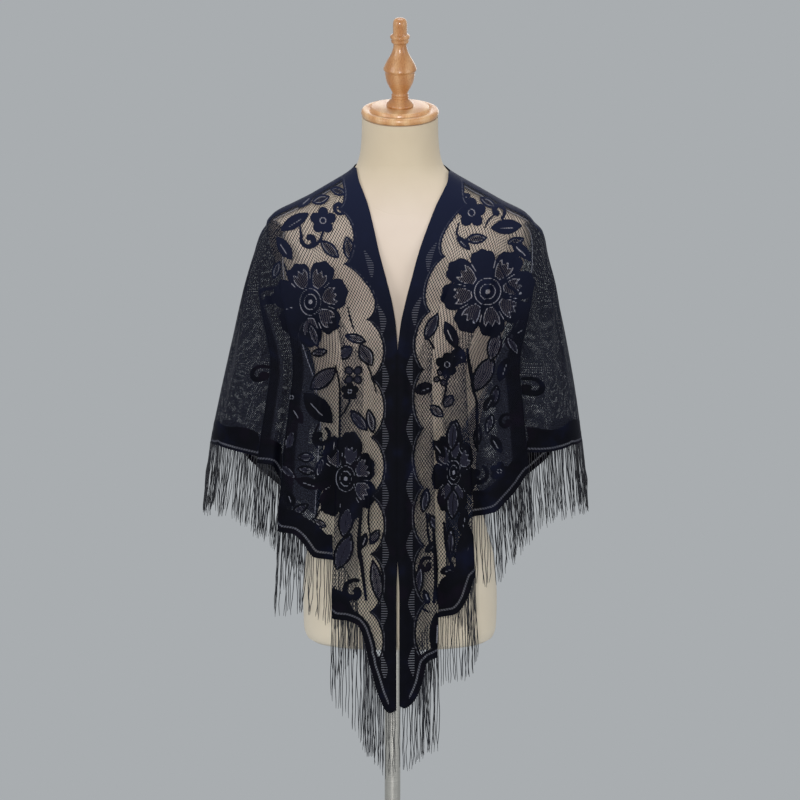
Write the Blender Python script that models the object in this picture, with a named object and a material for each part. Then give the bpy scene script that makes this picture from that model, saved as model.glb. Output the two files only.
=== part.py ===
"""A fringed lace shawl worn over a limbless dress form on a round steel stand.

Metres, +Z up, front towards -Y. The origin is the centre of the base plate's underside, on the pole's axis.
Run with: blender --background --python part.py
"""

import math
import random
from collections import namedtuple

import bmesh
import bpy
from mathutils import Matrix, Vector

# ---- Stand -------------------------------------------------------------------------------------------------
BASE_RADIUS = 0.160
BASE_THICKNESS = 0.009
BASE_EDGE = 0.003  # rounding of the plate's upper edge
COLLAR_RADIUS = 0.024
COLLAR_HEIGHT = 0.028
POLE_RADIUS = 0.0115
STAND_SIDES = 40
SEAM = 0.0003  # gap left between pieces that touch

# ---- Dress form --------------------------------------------------------------------------------------------
FORM_X = 0.011  # the form's own middle stands this far to the side of its pole
FORM_SIDES = 36
NECK_TOP = 1.5002
CAP_TILT = math.radians(16.0)  # the cut of the neck, and the cap on it, slopes down to the front
TILT_FROM = 1.445  # the neck's rings start to slope here

Ring = namedtuple("Ring", "z half_width front back power")
FORM = [
    Ring(0.7400, 0.1270, 0.0950, 0.1000, 2.3),
    Ring(0.7450, 0.1350, 0.1030, 0.1080, 2.3),
    Ring(0.7600, 0.1400, 0.1090, 0.1130, 2.3),
    Ring(0.8000, 0.1412, 0.1120, 0.1160, 2.3),
    Ring(0.8500, 0.1385, 0.1090, 0.1140, 2.3),
    Ring(0.9000, 0.1270, 0.1010, 0.1030, 2.3),
    Ring(0.9450, 0.1150, 0.0920, 0.0890, 2.3),
    Ring(0.9850, 0.1100, 0.0880, 0.0800, 2.3),
    Ring(1.0300, 0.1120, 0.0900, 0.0790, 2.3),
    Ring(1.0900, 0.1220, 0.1020, 0.0860, 2.3),
    Ring(1.1500, 0.1390, 0.1150, 0.0960, 2.3),
    Ring(1.1900, 0.1500, 0.1170, 0.1010, 2.3),
    Ring(1.2400, 0.1650, 0.1090, 0.1050, 2.3),
    Ring(1.2900, 0.1790, 0.0970, 0.1050, 2.3),
    Ring(1.3250, 0.1890, 0.0890, 0.1010, 2.3),
    Ring(1.3460, 0.1900, 0.0840, 0.0960, 2.3),
    Ring(1.3594, 0.1805, 0.0800, 0.0920, 2.3),
    Ring(1.3780, 0.1450, 0.0750, 0.0850, 2.3),
    Ring(1.3967, 0.1050, 0.0690, 0.0760, 2.2),
    Ring(1.4150, 0.0770, 0.0630, 0.0680, 2.1),
    Ring(1.4300, 0.0625, 0.0580, 0.0610, 2.0),
    Ring(1.4500, 0.0570, 0.0550, 0.0560, 2.0),
    Ring(1.4750, 0.0550, 0.0540, 0.0545, 2.0),
    Ring(NECK_TOP, 0.0546, 0.0546, 0.0546, 2.0),
]

# ---- Wooden cap and finial, measured up their own axis from the top of the neck ---------------------------
WOOD_SIDES = 22
Turned = namedtuple("Turned", "height radius")
CAP = [
    Turned(0.0000, 0.0525),
    Turned(0.0020, 0.0550),
    Turned(0.0050, 0.0558),
    Turned(0.0080, 0.0550),
    Turned(0.0100, 0.0525),
    Turned(0.0103, 0.0425),
    Turned(0.0125, 0.0420),
    Turned(0.0138, 0.0400),
]
FINIAL = [
    Turned(0.0000, 0.0185),
    Turned(0.0020, 0.0195),
    Turned(0.0065, 0.0165),
    Turned(0.0098, 0.0140),
    Turned(0.0120, 0.0122),
    Turned(0.0144, 0.0106),
    Turned(0.0172, 0.0124),
    Turned(0.0202, 0.0104),
    Turned(0.0241, 0.0107),
    Turned(0.0317, 0.0138),
    Turned(0.0396, 0.0174),
    Turned(0.0474, 0.0199),
    Turned(0.0552, 0.0214),
    Turned(0.0604, 0.0245),
    Turned(0.0643, 0.0248),
    Turned(0.0682, 0.0216),
    Turned(0.0733, 0.0183),
    Turned(0.0785, 0.0138),
    Turned(0.0837, 0.0119),
    Turned(0.0915, 0.0106),
    Turned(0.0985, 0.0100),
    Turned(0.1030, 0.0140),
    Turned(0.1096, 0.0151),
    Turned(0.1142, 0.0095),
    Turned(0.1251, 0.0101),
    Turned(0.1317, 0.0092),
    Turned(0.1362, 0.0060),
    Turned(0.1387, 0.0000),
]

# ---- Shawl -------------------------------------------------------------------------------------------------
WALL = 0.0012
REST_OUT = 0.0024  # where the cloth lies on the form, its middle is this far out from it
REST_UP = 0.0012  # and this much above it
SOFTEN = 0.0030  # how softly the cloth leaves the form
SHOULDER_Z = 1.3400  # the cloth falls free below this
YOKE_ROWS = 7  # rows of the wall from the neck edge to the shoulder
FADE_ROWS = 6  # from there to where the folds are at their full depth
FALL_ROWS = 3  # and from there to the hem
FRONT_STEP = 0.0550  # widest a column of the wall may be at the hem, in front
BACK_STEP = 0.0300  # and behind
WAVES_END = 1.365  # the folds and waves die out at this height
WAVES_FULL = 1.200  # and stand their full way proud of the fall from here down
FOLDS_END = 1.330  # the cloth starts to turn back behind itself below this
FOLDS_FULL = 1.130  # and lies in full folds from here down
FLAT_FROM = 1.200  # an open S above this height, the folds are pressed flat at the next
FLAT_FULL = 1.090

# Where the cloth hangs free of the form.
Fall = namedtuple("Fall", "z left right front back")
FALL = [
    Fall(0.6000, 0.3000, 0.2900, 0.1360, 0.1360),
    Fall(0.8300, 0.2960, 0.2840, 0.1360, 0.1360),
    Fall(1.0300, 0.2745, 0.2640, 0.1350, 0.1280),
    Fall(1.0900, 0.2624, 0.2560, 0.1340, 0.1240),
    Fall(1.1800, 0.2420, 0.2400, 0.1270, 0.1180),
    Fall(1.2520, 0.2253, 0.2243, 0.1120, 0.1090),
    Fall(1.3000, 0.2110, 0.2135, 0.0960, 0.1000),
    Fall(1.3350, 0.1985, 0.2050, 0.0830, 0.0900),
    Fall(1.3600, 0.1700, 0.1750, 0.0650, 0.0700),
    Fall(1.4400, 0.0400, 0.0400, 0.0400, 0.0400),
]

# The long edge, from the side of the neck down the V and then straight to the tip.
Edge = namedtuple("Edge", "z left right")
EDGE = [
    Edge(0.6000, 0.0045, -0.0012),
    Edge(1.1750, 0.0045, -0.0012),
    Edge(1.2060, 0.0055, 0.0002),
    Edge(1.2380, 0.0105, 0.0068),
    Edge(1.2720, 0.0190, 0.0158),
    Edge(1.3100, 0.0293, 0.0265),
    Edge(1.3500, 0.0385, 0.0410),
    Edge(1.3768, 0.0456, 0.0520),
    Edge(1.3950, 0.0525, 0.0615),
    Edge(1.4100, 0.0585, 0.0680),
    Edge(1.4350, 0.0640, 0.0700),
]
TOP_AT_EDGE = {"left": 1.4265, "right": 1.4210}  # the neck edge where the V starts
TOP_AT_NAPE = 1.4340
SIDE_AT_NECK = math.radians(106.0)  # where the line over the shoulder starts on the neck
SIDE = math.radians(90.0)  # and where it runs below the shoulder

# The hem of each front from its tip to the side. A Hem row is a point of it: how far out it lies, how far it
# stands proud of the fall and its height. A Fold row is a flat pleat, where the cloth turns back behind itself
# at its outer edge and out again at its inner edge. "front" and "rear" are how proud the layers on top and
# underneath lie, "z" is the hem of the top layer at the outer edge and "z_rear" that of the one underneath.
# A Point is a corner of the hem once its folds are laid. "open_lift" is its lift higher up, in an open fold.
Hem = namedtuple("Hem", "out lift z")
Fold = namedtuple("Fold", "outer inner front rear z z_rear")
Point = namedtuple("Point", "out lift open_lift z")
FOLD_TURN = 0.0026  # radius of the cloth where it turns at a fold's edge
FRONT_HEM = {
    "left": [
        Hem(0.0045, 0.010, 0.662),
        Hem(0.0135, 0.010, 0.659),
        Hem(0.0310, 0.010, 0.688),
        Hem(0.0410, 0.010, 0.722),
        Hem(0.0600, 0.009, 0.785),
        Hem(0.0780, 0.008, 0.790),
        Fold(0.0960, 0.0600, 0.007, -0.006, 0.793, 0.875),
        Hem(0.1230, 0.001, 0.879),
        Hem(0.1380, 0.004, 0.901),
        Hem(0.1520, 0.005, 0.913),
        Fold(0.1735, 0.1370, 0.004, -0.009, 0.915, 0.986),
        Hem(0.1830, 0.001, 1.009),
        Fold(0.2020, 0.1840, 0.003, -0.009, 1.011, 1.017),
        Hem(0.2220, -0.002, 1.023),
        Hem(0.2520, 0.001, 1.028),
        Hem(0.2745, 0.000, 1.030),
    ],
    "right": [
        Hem(-0.0012, 0.010, 0.669),
        Hem(0.0050, 0.010, 0.666),
        Hem(0.0185, 0.010, 0.675),
        Hem(0.0310, 0.010, 0.702),
        Hem(0.0395, 0.009, 0.732),
        Fold(0.0530, 0.0250, 0.008, -0.005, 0.738, 0.793),
        Hem(0.0790, 0.001, 0.800),
        Hem(0.0985, 0.004, 0.829),
        Fold(0.1065, 0.0670, 0.004, -0.012, 0.849, 0.936),
        Hem(0.1313, -0.002, 0.940),
        Hem(0.1512, 0.002, 0.959),
        Hem(0.1680, 0.004, 0.980),
        Fold(0.1830, 0.1430, 0.003, -0.011, 0.996, 1.024),
        Hem(0.2100, -0.002, 1.025),
        Hem(0.2350, 0.001, 1.028),
        Hem(0.2640, 0.000, 1.033),
    ],
}

# The hem behind, from the side to the middle of the back, by angle round the body. Its waves are soft flutes.
Back = namedtuple("Back", "degrees lift z")
BACK_HEM = {
    "left": [
        Back(101.0, -0.004, 1.030),
        Back(112.0, 0.005, 1.024),
        Back(122.0, -0.005, 1.008),
        Back(132.0, 0.006, 0.986),
        Back(141.0, -0.004, 0.959),
        Back(150.0, 0.007, 0.930),
        Back(158.0, -0.003, 0.900),
        Back(166.0, 0.005, 0.871),
        Back(173.0, -0.001, 0.850),
        Back(180.0, 0.003, 0.838),
    ],
    "right": [
        Back(100.0, -0.003, 1.032),
        Back(110.0, 0.006, 1.027),
        Back(121.0, -0.005, 1.010),
        Back(130.0, 0.004, 0.990),
        Back(140.0, -0.005, 0.962),
        Back(148.0, 0.005, 0.936),
        Back(157.0, -0.004, 0.903),
        Back(165.0, 0.006, 0.874),
        Back(173.0, 0.000, 0.849),
        Back(180.0, 0.003, 0.838),
    ],
}

# ---- Fringe ------------------------------------------------------------------------------------------------
STRIP_DEPTH = 0.0035  # the knotted heading that the strands hang from
STRAND_PITCH = 0.0105
STEEP_SHARE = 0.30  # a steep hem carries this share of the strands that a level one does
STRAND_ROOT = 0.0026
STRAND_WIDTH = 0.0021
STRAND_TIP = 0.0011
STRAND_LENGTH = 0.092
LENGTH_SPREAD = 0.07  # strands differ this much in length
SWAY = 0.0011  # how far a strand's middle wanders
FLARE = 0.75  # how much of the cloth's own slant the strands keep

SIGN = {"left": -1.0, "right": 1.0}


class Curve:
    """A smooth curve through (at, value) pairs, sorted by at, that never overshoots them."""

    def __init__(self, pairs):
        self.at = [float(a) for a, _ in pairs]
        self.value = [float(v) for _, v in pairs]
        gaps = [b - a for a, b in zip(self.at, self.at[1:])]
        rises = [(b - a) / g for a, b, g in zip(self.value, self.value[1:], gaps)]
        inner = [self._slope(*around) for around in zip(rises, rises[1:], gaps, gaps[1:])]
        self.slope = [rises[0]] + inner + [rises[-1]]

    @staticmethod
    def _slope(before, after, gap_before, gap_after):
        if before * after <= 0.0:
            return 0.0
        first = 2.0 * gap_after + gap_before
        second = gap_after + 2.0 * gap_before
        return (first + second) / (first / before + second / after)

    def __call__(self, at):
        last = len(self.at) - 1
        at = min(max(at, self.at[0]), self.at[last])
        i = 0
        while i < last - 1 and at > self.at[i + 1]:
            i += 1
        gap = self.at[i + 1] - self.at[i]
        t = (at - self.at[i]) / gap
        start = (1.0 + 2.0 * t) * self.value[i] + t * gap * self.slope[i]
        end = (3.0 - 2.0 * t) * self.value[i + 1] + (t - 1.0) * gap * self.slope[i + 1]
        return (1.0 - t) ** 2 * start + t * t * end


def curves(rows):
    """A curve for each named column of a table, read by the table's z."""
    rows = sorted(rows, key=lambda row: row.z)
    return {name: Curve([(row.z, getattr(row, name)) for row in rows]) for name in rows[0]._fields[1:]}


FORM_AT = curves(FORM)
FALL_AT = curves(FALL)
EDGE_AT = curves(EDGE)


def smoothstep(start, end, value):
    """0 up to start, 1 from end on, and a soft change between. Start may be the larger."""
    t = min(max((value - start) / (end - start), 0.0), 1.0)
    return t * t * (3.0 - 2.0 * t)


def signed_power(value, power):
    return math.copysign(abs(value) ** power, value)


def oval(angle, half_width, front, back, power):
    """A point on a rounded oval, by its angle from the front, 0, round to the back, 180 degrees."""
    depth = front if math.cos(angle) > 0.0 else back
    out = half_width * signed_power(math.sin(angle), 2.0 / power)
    forward = depth * signed_power(math.cos(angle), 2.0 / power)
    return out, forward


# ---- Building helpers --------------------------------------------------------------------------------------
def clear_scene():
    for old in list(bpy.data.objects):
        bpy.data.objects.remove(old, do_unlink=True)


def material(name, colour, roughness, metallic=0.0):
    made = bpy.data.materials.new(name)
    made.use_nodes = True
    made.diffuse_color = (*colour, 1.0)
    shader = made.node_tree.nodes["Principled BSDF"]
    shader.inputs["Base Color"].default_value = (*colour, 1.0)
    shader.inputs["Roughness"].default_value = roughness
    shader.inputs["Metallic"].default_value = metallic
    return made


def add_object(name, bm, finish, sharp_degrees=40.0):
    """Turns a bmesh into a named object with outward faces and smooth shading."""
    bmesh.ops.recalc_face_normals(bm, faces=bm.faces)
    mesh = bpy.data.meshes.new(name)
    bm.to_mesh(mesh)
    bm.free()
    mesh.materials.append(finish)
    mesh.shade_smooth()
    mesh.set_sharp_from_angle(angle=math.radians(sharp_degrees))
    made = bpy.data.objects.new(name, mesh)
    bpy.context.scene.collection.objects.link(made)
    return made


def bridge_rings(bm, rings):
    """Quads between each ring of vertices and the next, and a cap on the first and the last."""
    for lower, upper in zip(rings, rings[1:]):
        count = len(lower)
        for i in range(count):
            j = (i + 1) % count
            if len(upper) == 1:
                bm.faces.new((lower[i], lower[j], upper[0]))
            else:
                bm.faces.new((lower[i], lower[j], upper[j], upper[i]))
    bm.faces.new(list(reversed(rings[0])))
    if len(rings[-1]) > 1:
        bm.faces.new(rings[-1])


def turned(name, profile, sides, frame, finish):
    """A piece turned on a lathe: its profile swept round the Z axis of frame."""
    bm = bmesh.new()
    rings = []
    for row in profile:
        ring = []
        for i in range(sides if row.radius > 0.0 else 1):
            turn = 2.0 * math.pi * i / sides
            point = Vector((row.radius * math.cos(turn), row.radius * math.sin(turn), row.height))
            ring.append(bm.verts.new(frame @ point))
        rings.append(ring)
    bridge_rings(bm, rings)
    return add_object(name, bm, finish)


# ---- Stand -------------------------------------------------------------------------------------------------
def make_stand(steel, paint):
    top = BASE_THICKNESS
    plate = [
        Turned(0.0, BASE_RADIUS),
        Turned(top - BASE_EDGE, BASE_RADIUS),
        Turned(top - BASE_EDGE * 0.3, BASE_RADIUS - BASE_EDGE * 0.3),
        Turned(top, BASE_RADIUS - BASE_EDGE),
        Turned(top, COLLAR_RADIUS),
        Turned(top + COLLAR_HEIGHT, COLLAR_RADIUS),
    ]
    turned("stand_base", plate, STAND_SIDES, Matrix.Identity(4), paint)
    foot = top + COLLAR_HEIGHT + SEAM
    pole = [Turned(foot, POLE_RADIUS), Turned(FORM[0].z - SEAM, POLE_RADIUS)]
    turned("stand_pole", pole, STAND_SIDES // 2, Matrix.Identity(4), steel)


# ---- Dress form --------------------------------------------------------------------------------------------
def make_form(jersey):
    bm = bmesh.new()
    rings = []
    for row in FORM:
        slope = math.tan(CAP_TILT) * smoothstep(TILT_FROM, NECK_TOP, row.z)
        ring = []
        for i in range(FORM_SIDES):
            angle = 2.0 * math.pi * i / FORM_SIDES
            out, forward = oval(angle, row.half_width, row.front, row.back, row.power)
            ring.append(bm.verts.new((FORM_X + out, -forward, row.z - forward * slope)))
        rings.append(ring)
    bridge_rings(bm, rings)
    add_object("form_torso", bm, jersey)


def neck_frame(height):
    """The axis of the cap and finial: square to the sloping cut of the neck."""
    lean = Matrix.Rotation(CAP_TILT, 4, "X")
    return Matrix.Translation((FORM_X, 0.0, NECK_TOP)) @ lean @ Matrix.Translation((0.0, 0.0, height))


def make_cap_and_finial(wood):
    turned("neck_cap", CAP, WOOD_SIDES, neck_frame(SEAM), wood)
    turned("neck_finial", FINIAL, WOOD_SIDES, neck_frame(SEAM + CAP[-1].height + SEAM), wood)


# ---- Shawl -------------------------------------------------------------------------------------------------
def reach(column, form_column, z):
    """How far out the cloth's middle lies: on the form where that holds it, and free of it below."""
    on_form = FORM_AT[form_column](z - REST_UP) + REST_OUT
    free = FALL_AT[column](z)
    return 0.5 * (on_form + free + math.hypot(on_form - free, SOFTEN))


def cloth_oval(side, z):
    half_width = reach(side, "half_width", z)
    return half_width, reach("front", "front", z), reach("back", "back", z), FORM_AT["power"](z)


def angle_of(out, half_width, power):
    """The angle round the body of a point on the front that lies this far out."""
    return math.asin(signed_power(min(out / half_width, 1.0), power / 2.0))


def fall_point(side, angle, z, lift):
    """A point of the cloth's middle at this angle and height, lift proud of the fall."""
    half_width, front, back, power = cloth_oval(side, z)
    out, forward = oval(angle, half_width, front, back, power)
    depth = front if forward > 0.0 else back
    across = signed_power(out / half_width, power - 1.0) / half_width
    ahead = signed_power(forward / depth, power - 1.0) / depth
    size = math.hypot(across, ahead)
    out += lift * across / size
    forward += lift * ahead / size
    return Vector((FORM_X + SIGN[side] * out, -forward, z))


def pleat(fold):
    """The points of the hem round one fold, from its top layer to the one underneath.

    The last two numbers of a row are shares of the way from the one layer to the other.
    """
    turn, front, rear = FOLD_TURN, fold.front, fold.rear
    rows = [
        Point(fold.outer - turn, front, 0.0, 0.0),
        Point(fold.outer, front - turn, 0.08, 0.04),
        Point(fold.outer - turn, front - 2.0 * turn, 0.16, 0.08),
        Point(fold.inner + turn, rear + 2.0 * turn, 0.84, 0.45),
        Point(fold.inner, rear + turn, 0.92, 0.50),
        Point(fold.inner + turn, rear, 1.0, 0.55),
        Point(fold.outer, rear, 1.0, 1.0),
    ]
    points = []
    for row in rows:
        open_lift = front + (rear - front) * row.open_lift
        points.append(row._replace(open_lift=open_lift, z=fold.z + (fold.z_rear - fold.z) * row.z))
    return points


def front_points(side):
    """The points of a front's hem, with its folds."""
    points = []
    for row in FRONT_HEM[side]:
        if isinstance(row, Fold):
            points += pleat(row)
        else:
            points.append(Point(row.out, row.lift, row.lift, row.z))
    return points


def hem_table(side):
    """The whole hem of one side as curves by its length, from the tip to the middle of the back."""
    rows = []
    for row in front_points(side):
        half_width, _, _, power = cloth_oval(side, row.z)
        rows.append((min(angle_of(row.out, half_width, power), SIDE), row.lift, row.z, row.open_lift))
    side_row = len(rows) - 1
    rows[side_row] = (SIDE, *rows[side_row][1:])
    rows += [(math.radians(row.degrees), row.lift, row.z, row.lift) for row in BACK_HEM[side]]
    stations = [0.0]
    points = [fall_point(side, angle, z, lift) for angle, lift, z, _ in rows]
    for a, b in zip(points, points[1:]):
        stations.append(stations[-1] + (b - a).length)
    columns = [Curve(list(zip(stations, column))) for column in zip(*rows)]
    hem = dict(zip(("angle", "lift", "z", "open_lift"), columns))
    return {**hem, "stations": stations, "side": stations[side_row]}


def cloth_point(side, hem, s, z):
    """A point of the cloth's middle on the line down from the neck that meets the hem at s."""
    fold = smoothstep(FOLDS_END, FOLDS_FULL, z)
    flat = smoothstep(FLAT_FROM, FLAT_FULL, z)
    lift = hem["open_lift"](s) * (1.0 - flat) + hem["lift"](s) * flat
    lift *= smoothstep(WAVES_END, WAVES_FULL, z)
    edge_z = min(z, TOP_AT_EDGE[side])
    half_width, _, _, power = cloth_oval(side, edge_z)
    edge = angle_of(EDGE_AT[side](edge_z), half_width, power)
    shoulder = SIDE + (SIDE_AT_NECK - SIDE) * smoothstep(SHOULDER_Z, TOP_AT_NAPE, z)
    if s < hem["side"]:
        start = hem["angle"](0.0)
        even = start + (SIDE - start) * s / hem["side"]
        folded = even + (hem["angle"](s) - even) * fold
        angle = edge + (folded - start) * (shoulder - edge) / (SIDE - start)
    else:
        share = (hem["angle"](s) - SIDE) / (math.pi - SIDE)
        angle = shoulder + (math.pi - shoulder) * share
    return fall_point(side, angle, z, lift)


def hem_columns(hem):
    """Where the wall's columns meet the hem: at each row of the hem's table and between rows that lie wide."""
    columns = [0.0]
    for a, b in zip(hem["stations"], hem["stations"][1:]):
        parts = math.ceil((b - a) / (FRONT_STEP if a < hem["side"] else BACK_STEP))
        columns += [a + (b - a) * (i + 1) / parts for i in range(parts)]
    return columns


def levels(top, bottom, count):
    """Even heights from top down towards bottom, without bottom itself."""
    return [top + (bottom - top) * i / count for i in range(count)]


def cloth_grid(side):
    """The middle of one side of the cloth as columns of points from the neck edge to the hem."""
    hem = hem_table(side)
    columns = hem_columns(hem)
    grid = []
    for s in columns:
        to_nape = smoothstep(0.0, columns[-1], s)
        top = TOP_AT_EDGE[side] + (TOP_AT_NAPE - TOP_AT_EDGE[side]) * to_nape
        bottom = hem["z"](s)
        heights = levels(top, SHOULDER_Z, YOKE_ROWS)
        heights += levels(SHOULDER_Z, FOLDS_FULL, FADE_ROWS)
        heights += levels(FOLDS_FULL, bottom, FALL_ROWS)
        grid.append([cloth_point(side, hem, s, z) for z in heights + [bottom]])
    side_column = min(range(len(columns)), key=lambda i: abs(columns[i] - hem["side"]))
    return grid, side_column


def grid_normals(grid, outward):
    """Unit normals of a grid of points. outward is 1 or -1, whichever turns them out of the body."""
    normals = []
    for i, column in enumerate(grid):
        before, after = grid[max(i - 1, 0)], grid[min(i + 1, len(grid) - 1)]
        row = []
        for j in range(len(column)):
            down = column[min(j + 1, len(column) - 1)] - column[max(j - 1, 0)]
            row.append(((after[j] - before[j]).cross(down) * outward).normalized())
        normals.append(row)
    return normals


def make_wall(name, outer, inner, lace):
    """A closed wall between two grids of points."""
    bm = bmesh.new()
    front = [[bm.verts.new(p) for p in column] for column in outer]
    rear = [[bm.verts.new(p) for p in column] for column in inner]
    columns, rows = len(outer), len(outer[0])
    for i in range(columns - 1):
        for j in range(rows - 1):
            bm.faces.new((front[i][j], front[i + 1][j], front[i + 1][j + 1], front[i][j + 1]))
            bm.faces.new((rear[i][j + 1], rear[i + 1][j + 1], rear[i + 1][j], rear[i][j]))
        for j in (0, rows - 1):
            bm.faces.new((front[i][j], rear[i][j], rear[i + 1][j], front[i + 1][j]))
    for i in (0, columns - 1):
        for j in range(rows - 1):
            bm.faces.new((front[i][j], front[i][j + 1], rear[i][j + 1], rear[i][j]))
    add_object(name, bm, lace, sharp_degrees=70.0)


def cloth_faces(side):
    """The outer and inner face of one side of the cloth, and the column at its side line."""
    grid, side_column = cloth_grid(side)
    normals = grid_normals(grid, -SIGN[side])
    outer = [[p + n * 0.5 * WALL for p, n in zip(*column)] for column in zip(grid, normals)]
    inner = [[p - n * 0.5 * WALL for p, n in zip(*column)] for column in zip(grid, normals)]
    return outer, inner, side_column


def parted(columns, at, towards):
    """The column at a seam, moved half the seam's gap towards the neighbour column given."""
    pairs = zip(columns[at], columns[towards])
    return [p + (q - p).normalized() * 0.5 * SEAM for p, q in pairs]


# ---- Fringe ------------------------------------------------------------------------------------------------
def strand_counts(hem_points):
    """How many strands hang from each stretch of the hem between two columns."""
    counts = []
    run, hung = 0.5 * STRAND_PITCH, 0
    for a, b in zip(hem_points, hem_points[1:]):
        step = b - a
        level = math.hypot(step.x, step.y)
        run += level + STEEP_SHARE * (step.length - level)
        counts.append(int(run / STRAND_PITCH) - hung)
        hung += counts[-1]
    return counts


def hem_directions(outer, inner):
    """At each column of a wall: the way out of the cloth past its hem, and the way the strands hang."""
    aways, hangs = [], []
    last = len(outer) - 1
    for i in range(len(outer)):
        tangent = outer[min(i + 1, last)][-1] - outer[max(i - 1, 0)][-1]
        away = tangent.cross(outer[i][-1] - inner[i][-1]).normalized()
        slant = (outer[i][-1] - outer[i][-2]).normalized()
        aways.append(away if away.dot(slant) > 0.0 else -away)
        hangs.append((slant * FLARE + Vector((0.0, 0.0, FLARE - 1.0))).normalized())
    return aways, hangs


def hang_strand(bm, root, away, hang, across, chance):
    """Extrudes one strand from the four corners of its root in the strip's underside."""
    out = across.cross(Vector((0.0, 0.0, 1.0)))
    if out.dot(root[0].co - root[3].co) < 0.0:
        out = -out
    top = sum((v.co for v in root), Vector()) / 4.0 + away * STRAND_TIP
    length = STRAND_LENGTH * (1.0 + LENGTH_SPREAD * chance.uniform(-1.0, 1.0))
    sway = across * chance.uniform(-SWAY, SWAY) + out * chance.uniform(-SWAY, SWAY)
    ring = root
    for share, width, swing in ((0.42, STRAND_WIDTH, 1.0), (1.0, STRAND_TIP, -0.6)):
        place = top + hang * length * share + sway * swing
        lower = []
        for along, thick in ((-1, 1), (1, 1), (1, -1), (-1, -1)):
            lower.append(bm.verts.new(place + (across * along + out * thick) * 0.5 * width))
        for i in range(4):
            j = (i + 1) % 4
            bm.faces.new((ring[i], ring[j], lower[j], lower[i]))
        ring = lower
    bm.faces.new(ring)


def hang_stretch(bm, start, end, count, away, hang, chance):
    """The strip's faces from one column to the next, with this many strands on its underside."""
    top_out, low_out, top_in, low_in = start
    next_top_out, next_low_out, next_top_in, next_low_in = end
    step = next_low_out.co - low_out.co
    half = min(0.5 * STRAND_ROOT / step.length, 0.3 / max(count, 1))
    lows_out, lows_in = [low_out], [low_in]
    for k in range(count):
        middle = (k + 0.5) / count
        for t in (middle - half, middle + half):
            lows_out.append(bm.verts.new(low_out.co.lerp(next_low_out.co, t)))
            lows_in.append(bm.verts.new(low_in.co.lerp(next_low_in.co, t)))
    lows_out.append(next_low_out)
    lows_in.append(next_low_in)
    bm.faces.new((top_out, top_in, next_top_in, next_top_out))
    bm.faces.new([top_out, next_top_out] + list(reversed(lows_out)))
    bm.faces.new([top_in, next_top_in] + list(reversed(lows_in)))
    across = Vector((step.x, step.y, 0.0)).normalized()
    for k in range(len(lows_out) - 1):
        root = (lows_out[k], lows_out[k + 1], lows_in[k + 1], lows_in[k])
        if k % 2 == 0:
            bm.faces.new(root)
        else:
            hang_strand(bm, root, away, hang, across, chance)


def make_fringe(name, outer, inner, yarn, seed):
    """A heading strip just below a wall's hem, with its strands, as one body."""
    chance = random.Random(seed)
    counts = strand_counts([column[-1] for column in outer])
    aways, hangs = hem_directions(outer, inner)
    bm = bmesh.new()
    corners = []
    for columns in zip(outer, inner, aways):
        away = columns[2]
        drops = (away * SEAM, away * (SEAM + STRIP_DEPTH))
        corners.append([bm.verts.new(face[-1] + drop) for face in columns[:2] for drop in drops])
    for top_out, low_out, top_in, low_in in (corners[0], corners[-1]):
        bm.faces.new((top_out, low_out, low_in, top_in))
    for i, count in enumerate(counts):
        away = (aways[i] + aways[i + 1]).normalized()
        hang = (hangs[i] + hangs[i + 1]).normalized()
        hang_stretch(bm, corners[i], corners[i + 1], count, away, hang, chance)
    add_object(name, bm, yarn)


def make_shawl(lace, yarn):
    whole = {"outer": [], "inner": []}
    for seed, side in enumerate(SIGN):
        outer, inner, at = cloth_faces(side)
        front = [faces[:at] + [parted(faces, at, at - 1)] for faces in (outer, inner)]
        make_wall(f"shawl_front_{side}", *front, lace)
        make_fringe(f"fringe_front_{side}", *front, yarn, seed)
        for face, columns in (("outer", outer), ("inner", inner)):
            half = [parted(columns, at, at + 1)] + columns[at + 1:]
            if side == "left":
                whole[face] = half
            else:
                whole[face] = whole[face][:-1] + list(reversed(half))
    make_wall("shawl_back", whole["outer"], whole["inner"], lace)
    make_fringe("fringe_back", whole["outer"], whole["inner"], yarn, seed=len(SIGN))


def main():
    clear_scene()
    lace = material("navy warp-knitted lace", (0.010, 0.012, 0.035), 0.85)
    yarn = material("navy fringe yarn", (0.006, 0.007, 0.016), 0.80)
    jersey = material("ivory jersey", (0.70, 0.60, 0.46), 0.90)
    wood = material("lacquered beech", (0.55, 0.28, 0.11), 0.35)
    steel = material("brushed steel tube", (0.52, 0.52, 0.50), 0.35, 1.0)
    paint = material("grey painted steel", (0.30, 0.30, 0.30), 0.50)
    make_stand(steel, paint)
    make_form(jersey)
    make_cap_and_finial(wood)
    make_shawl(lace, yarn)


main()
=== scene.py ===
# %% [markdown]
# # A fringed lace shawl on a dress form
#
# The shawl is one triangle of navy warp-knitted lace with a long fringe, worn open over a padded form on a
# steel stand. The solids of the part fix its place and size. This file gives every surface its real look:
# the lace as a thin sheet with its pattern cut through it, the fringe yarn by yarn, the jersey, the turned
# wood and the metal. Everything is in metres, in the frame of the solids. The tables of sizes alone are in
# millimetres, as a maker would note them.

import math
from collections import namedtuple
from functools import partial, reduce

import bmesh
import bpy
import numpy as np
from mathutils import Matrix, Vector


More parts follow.
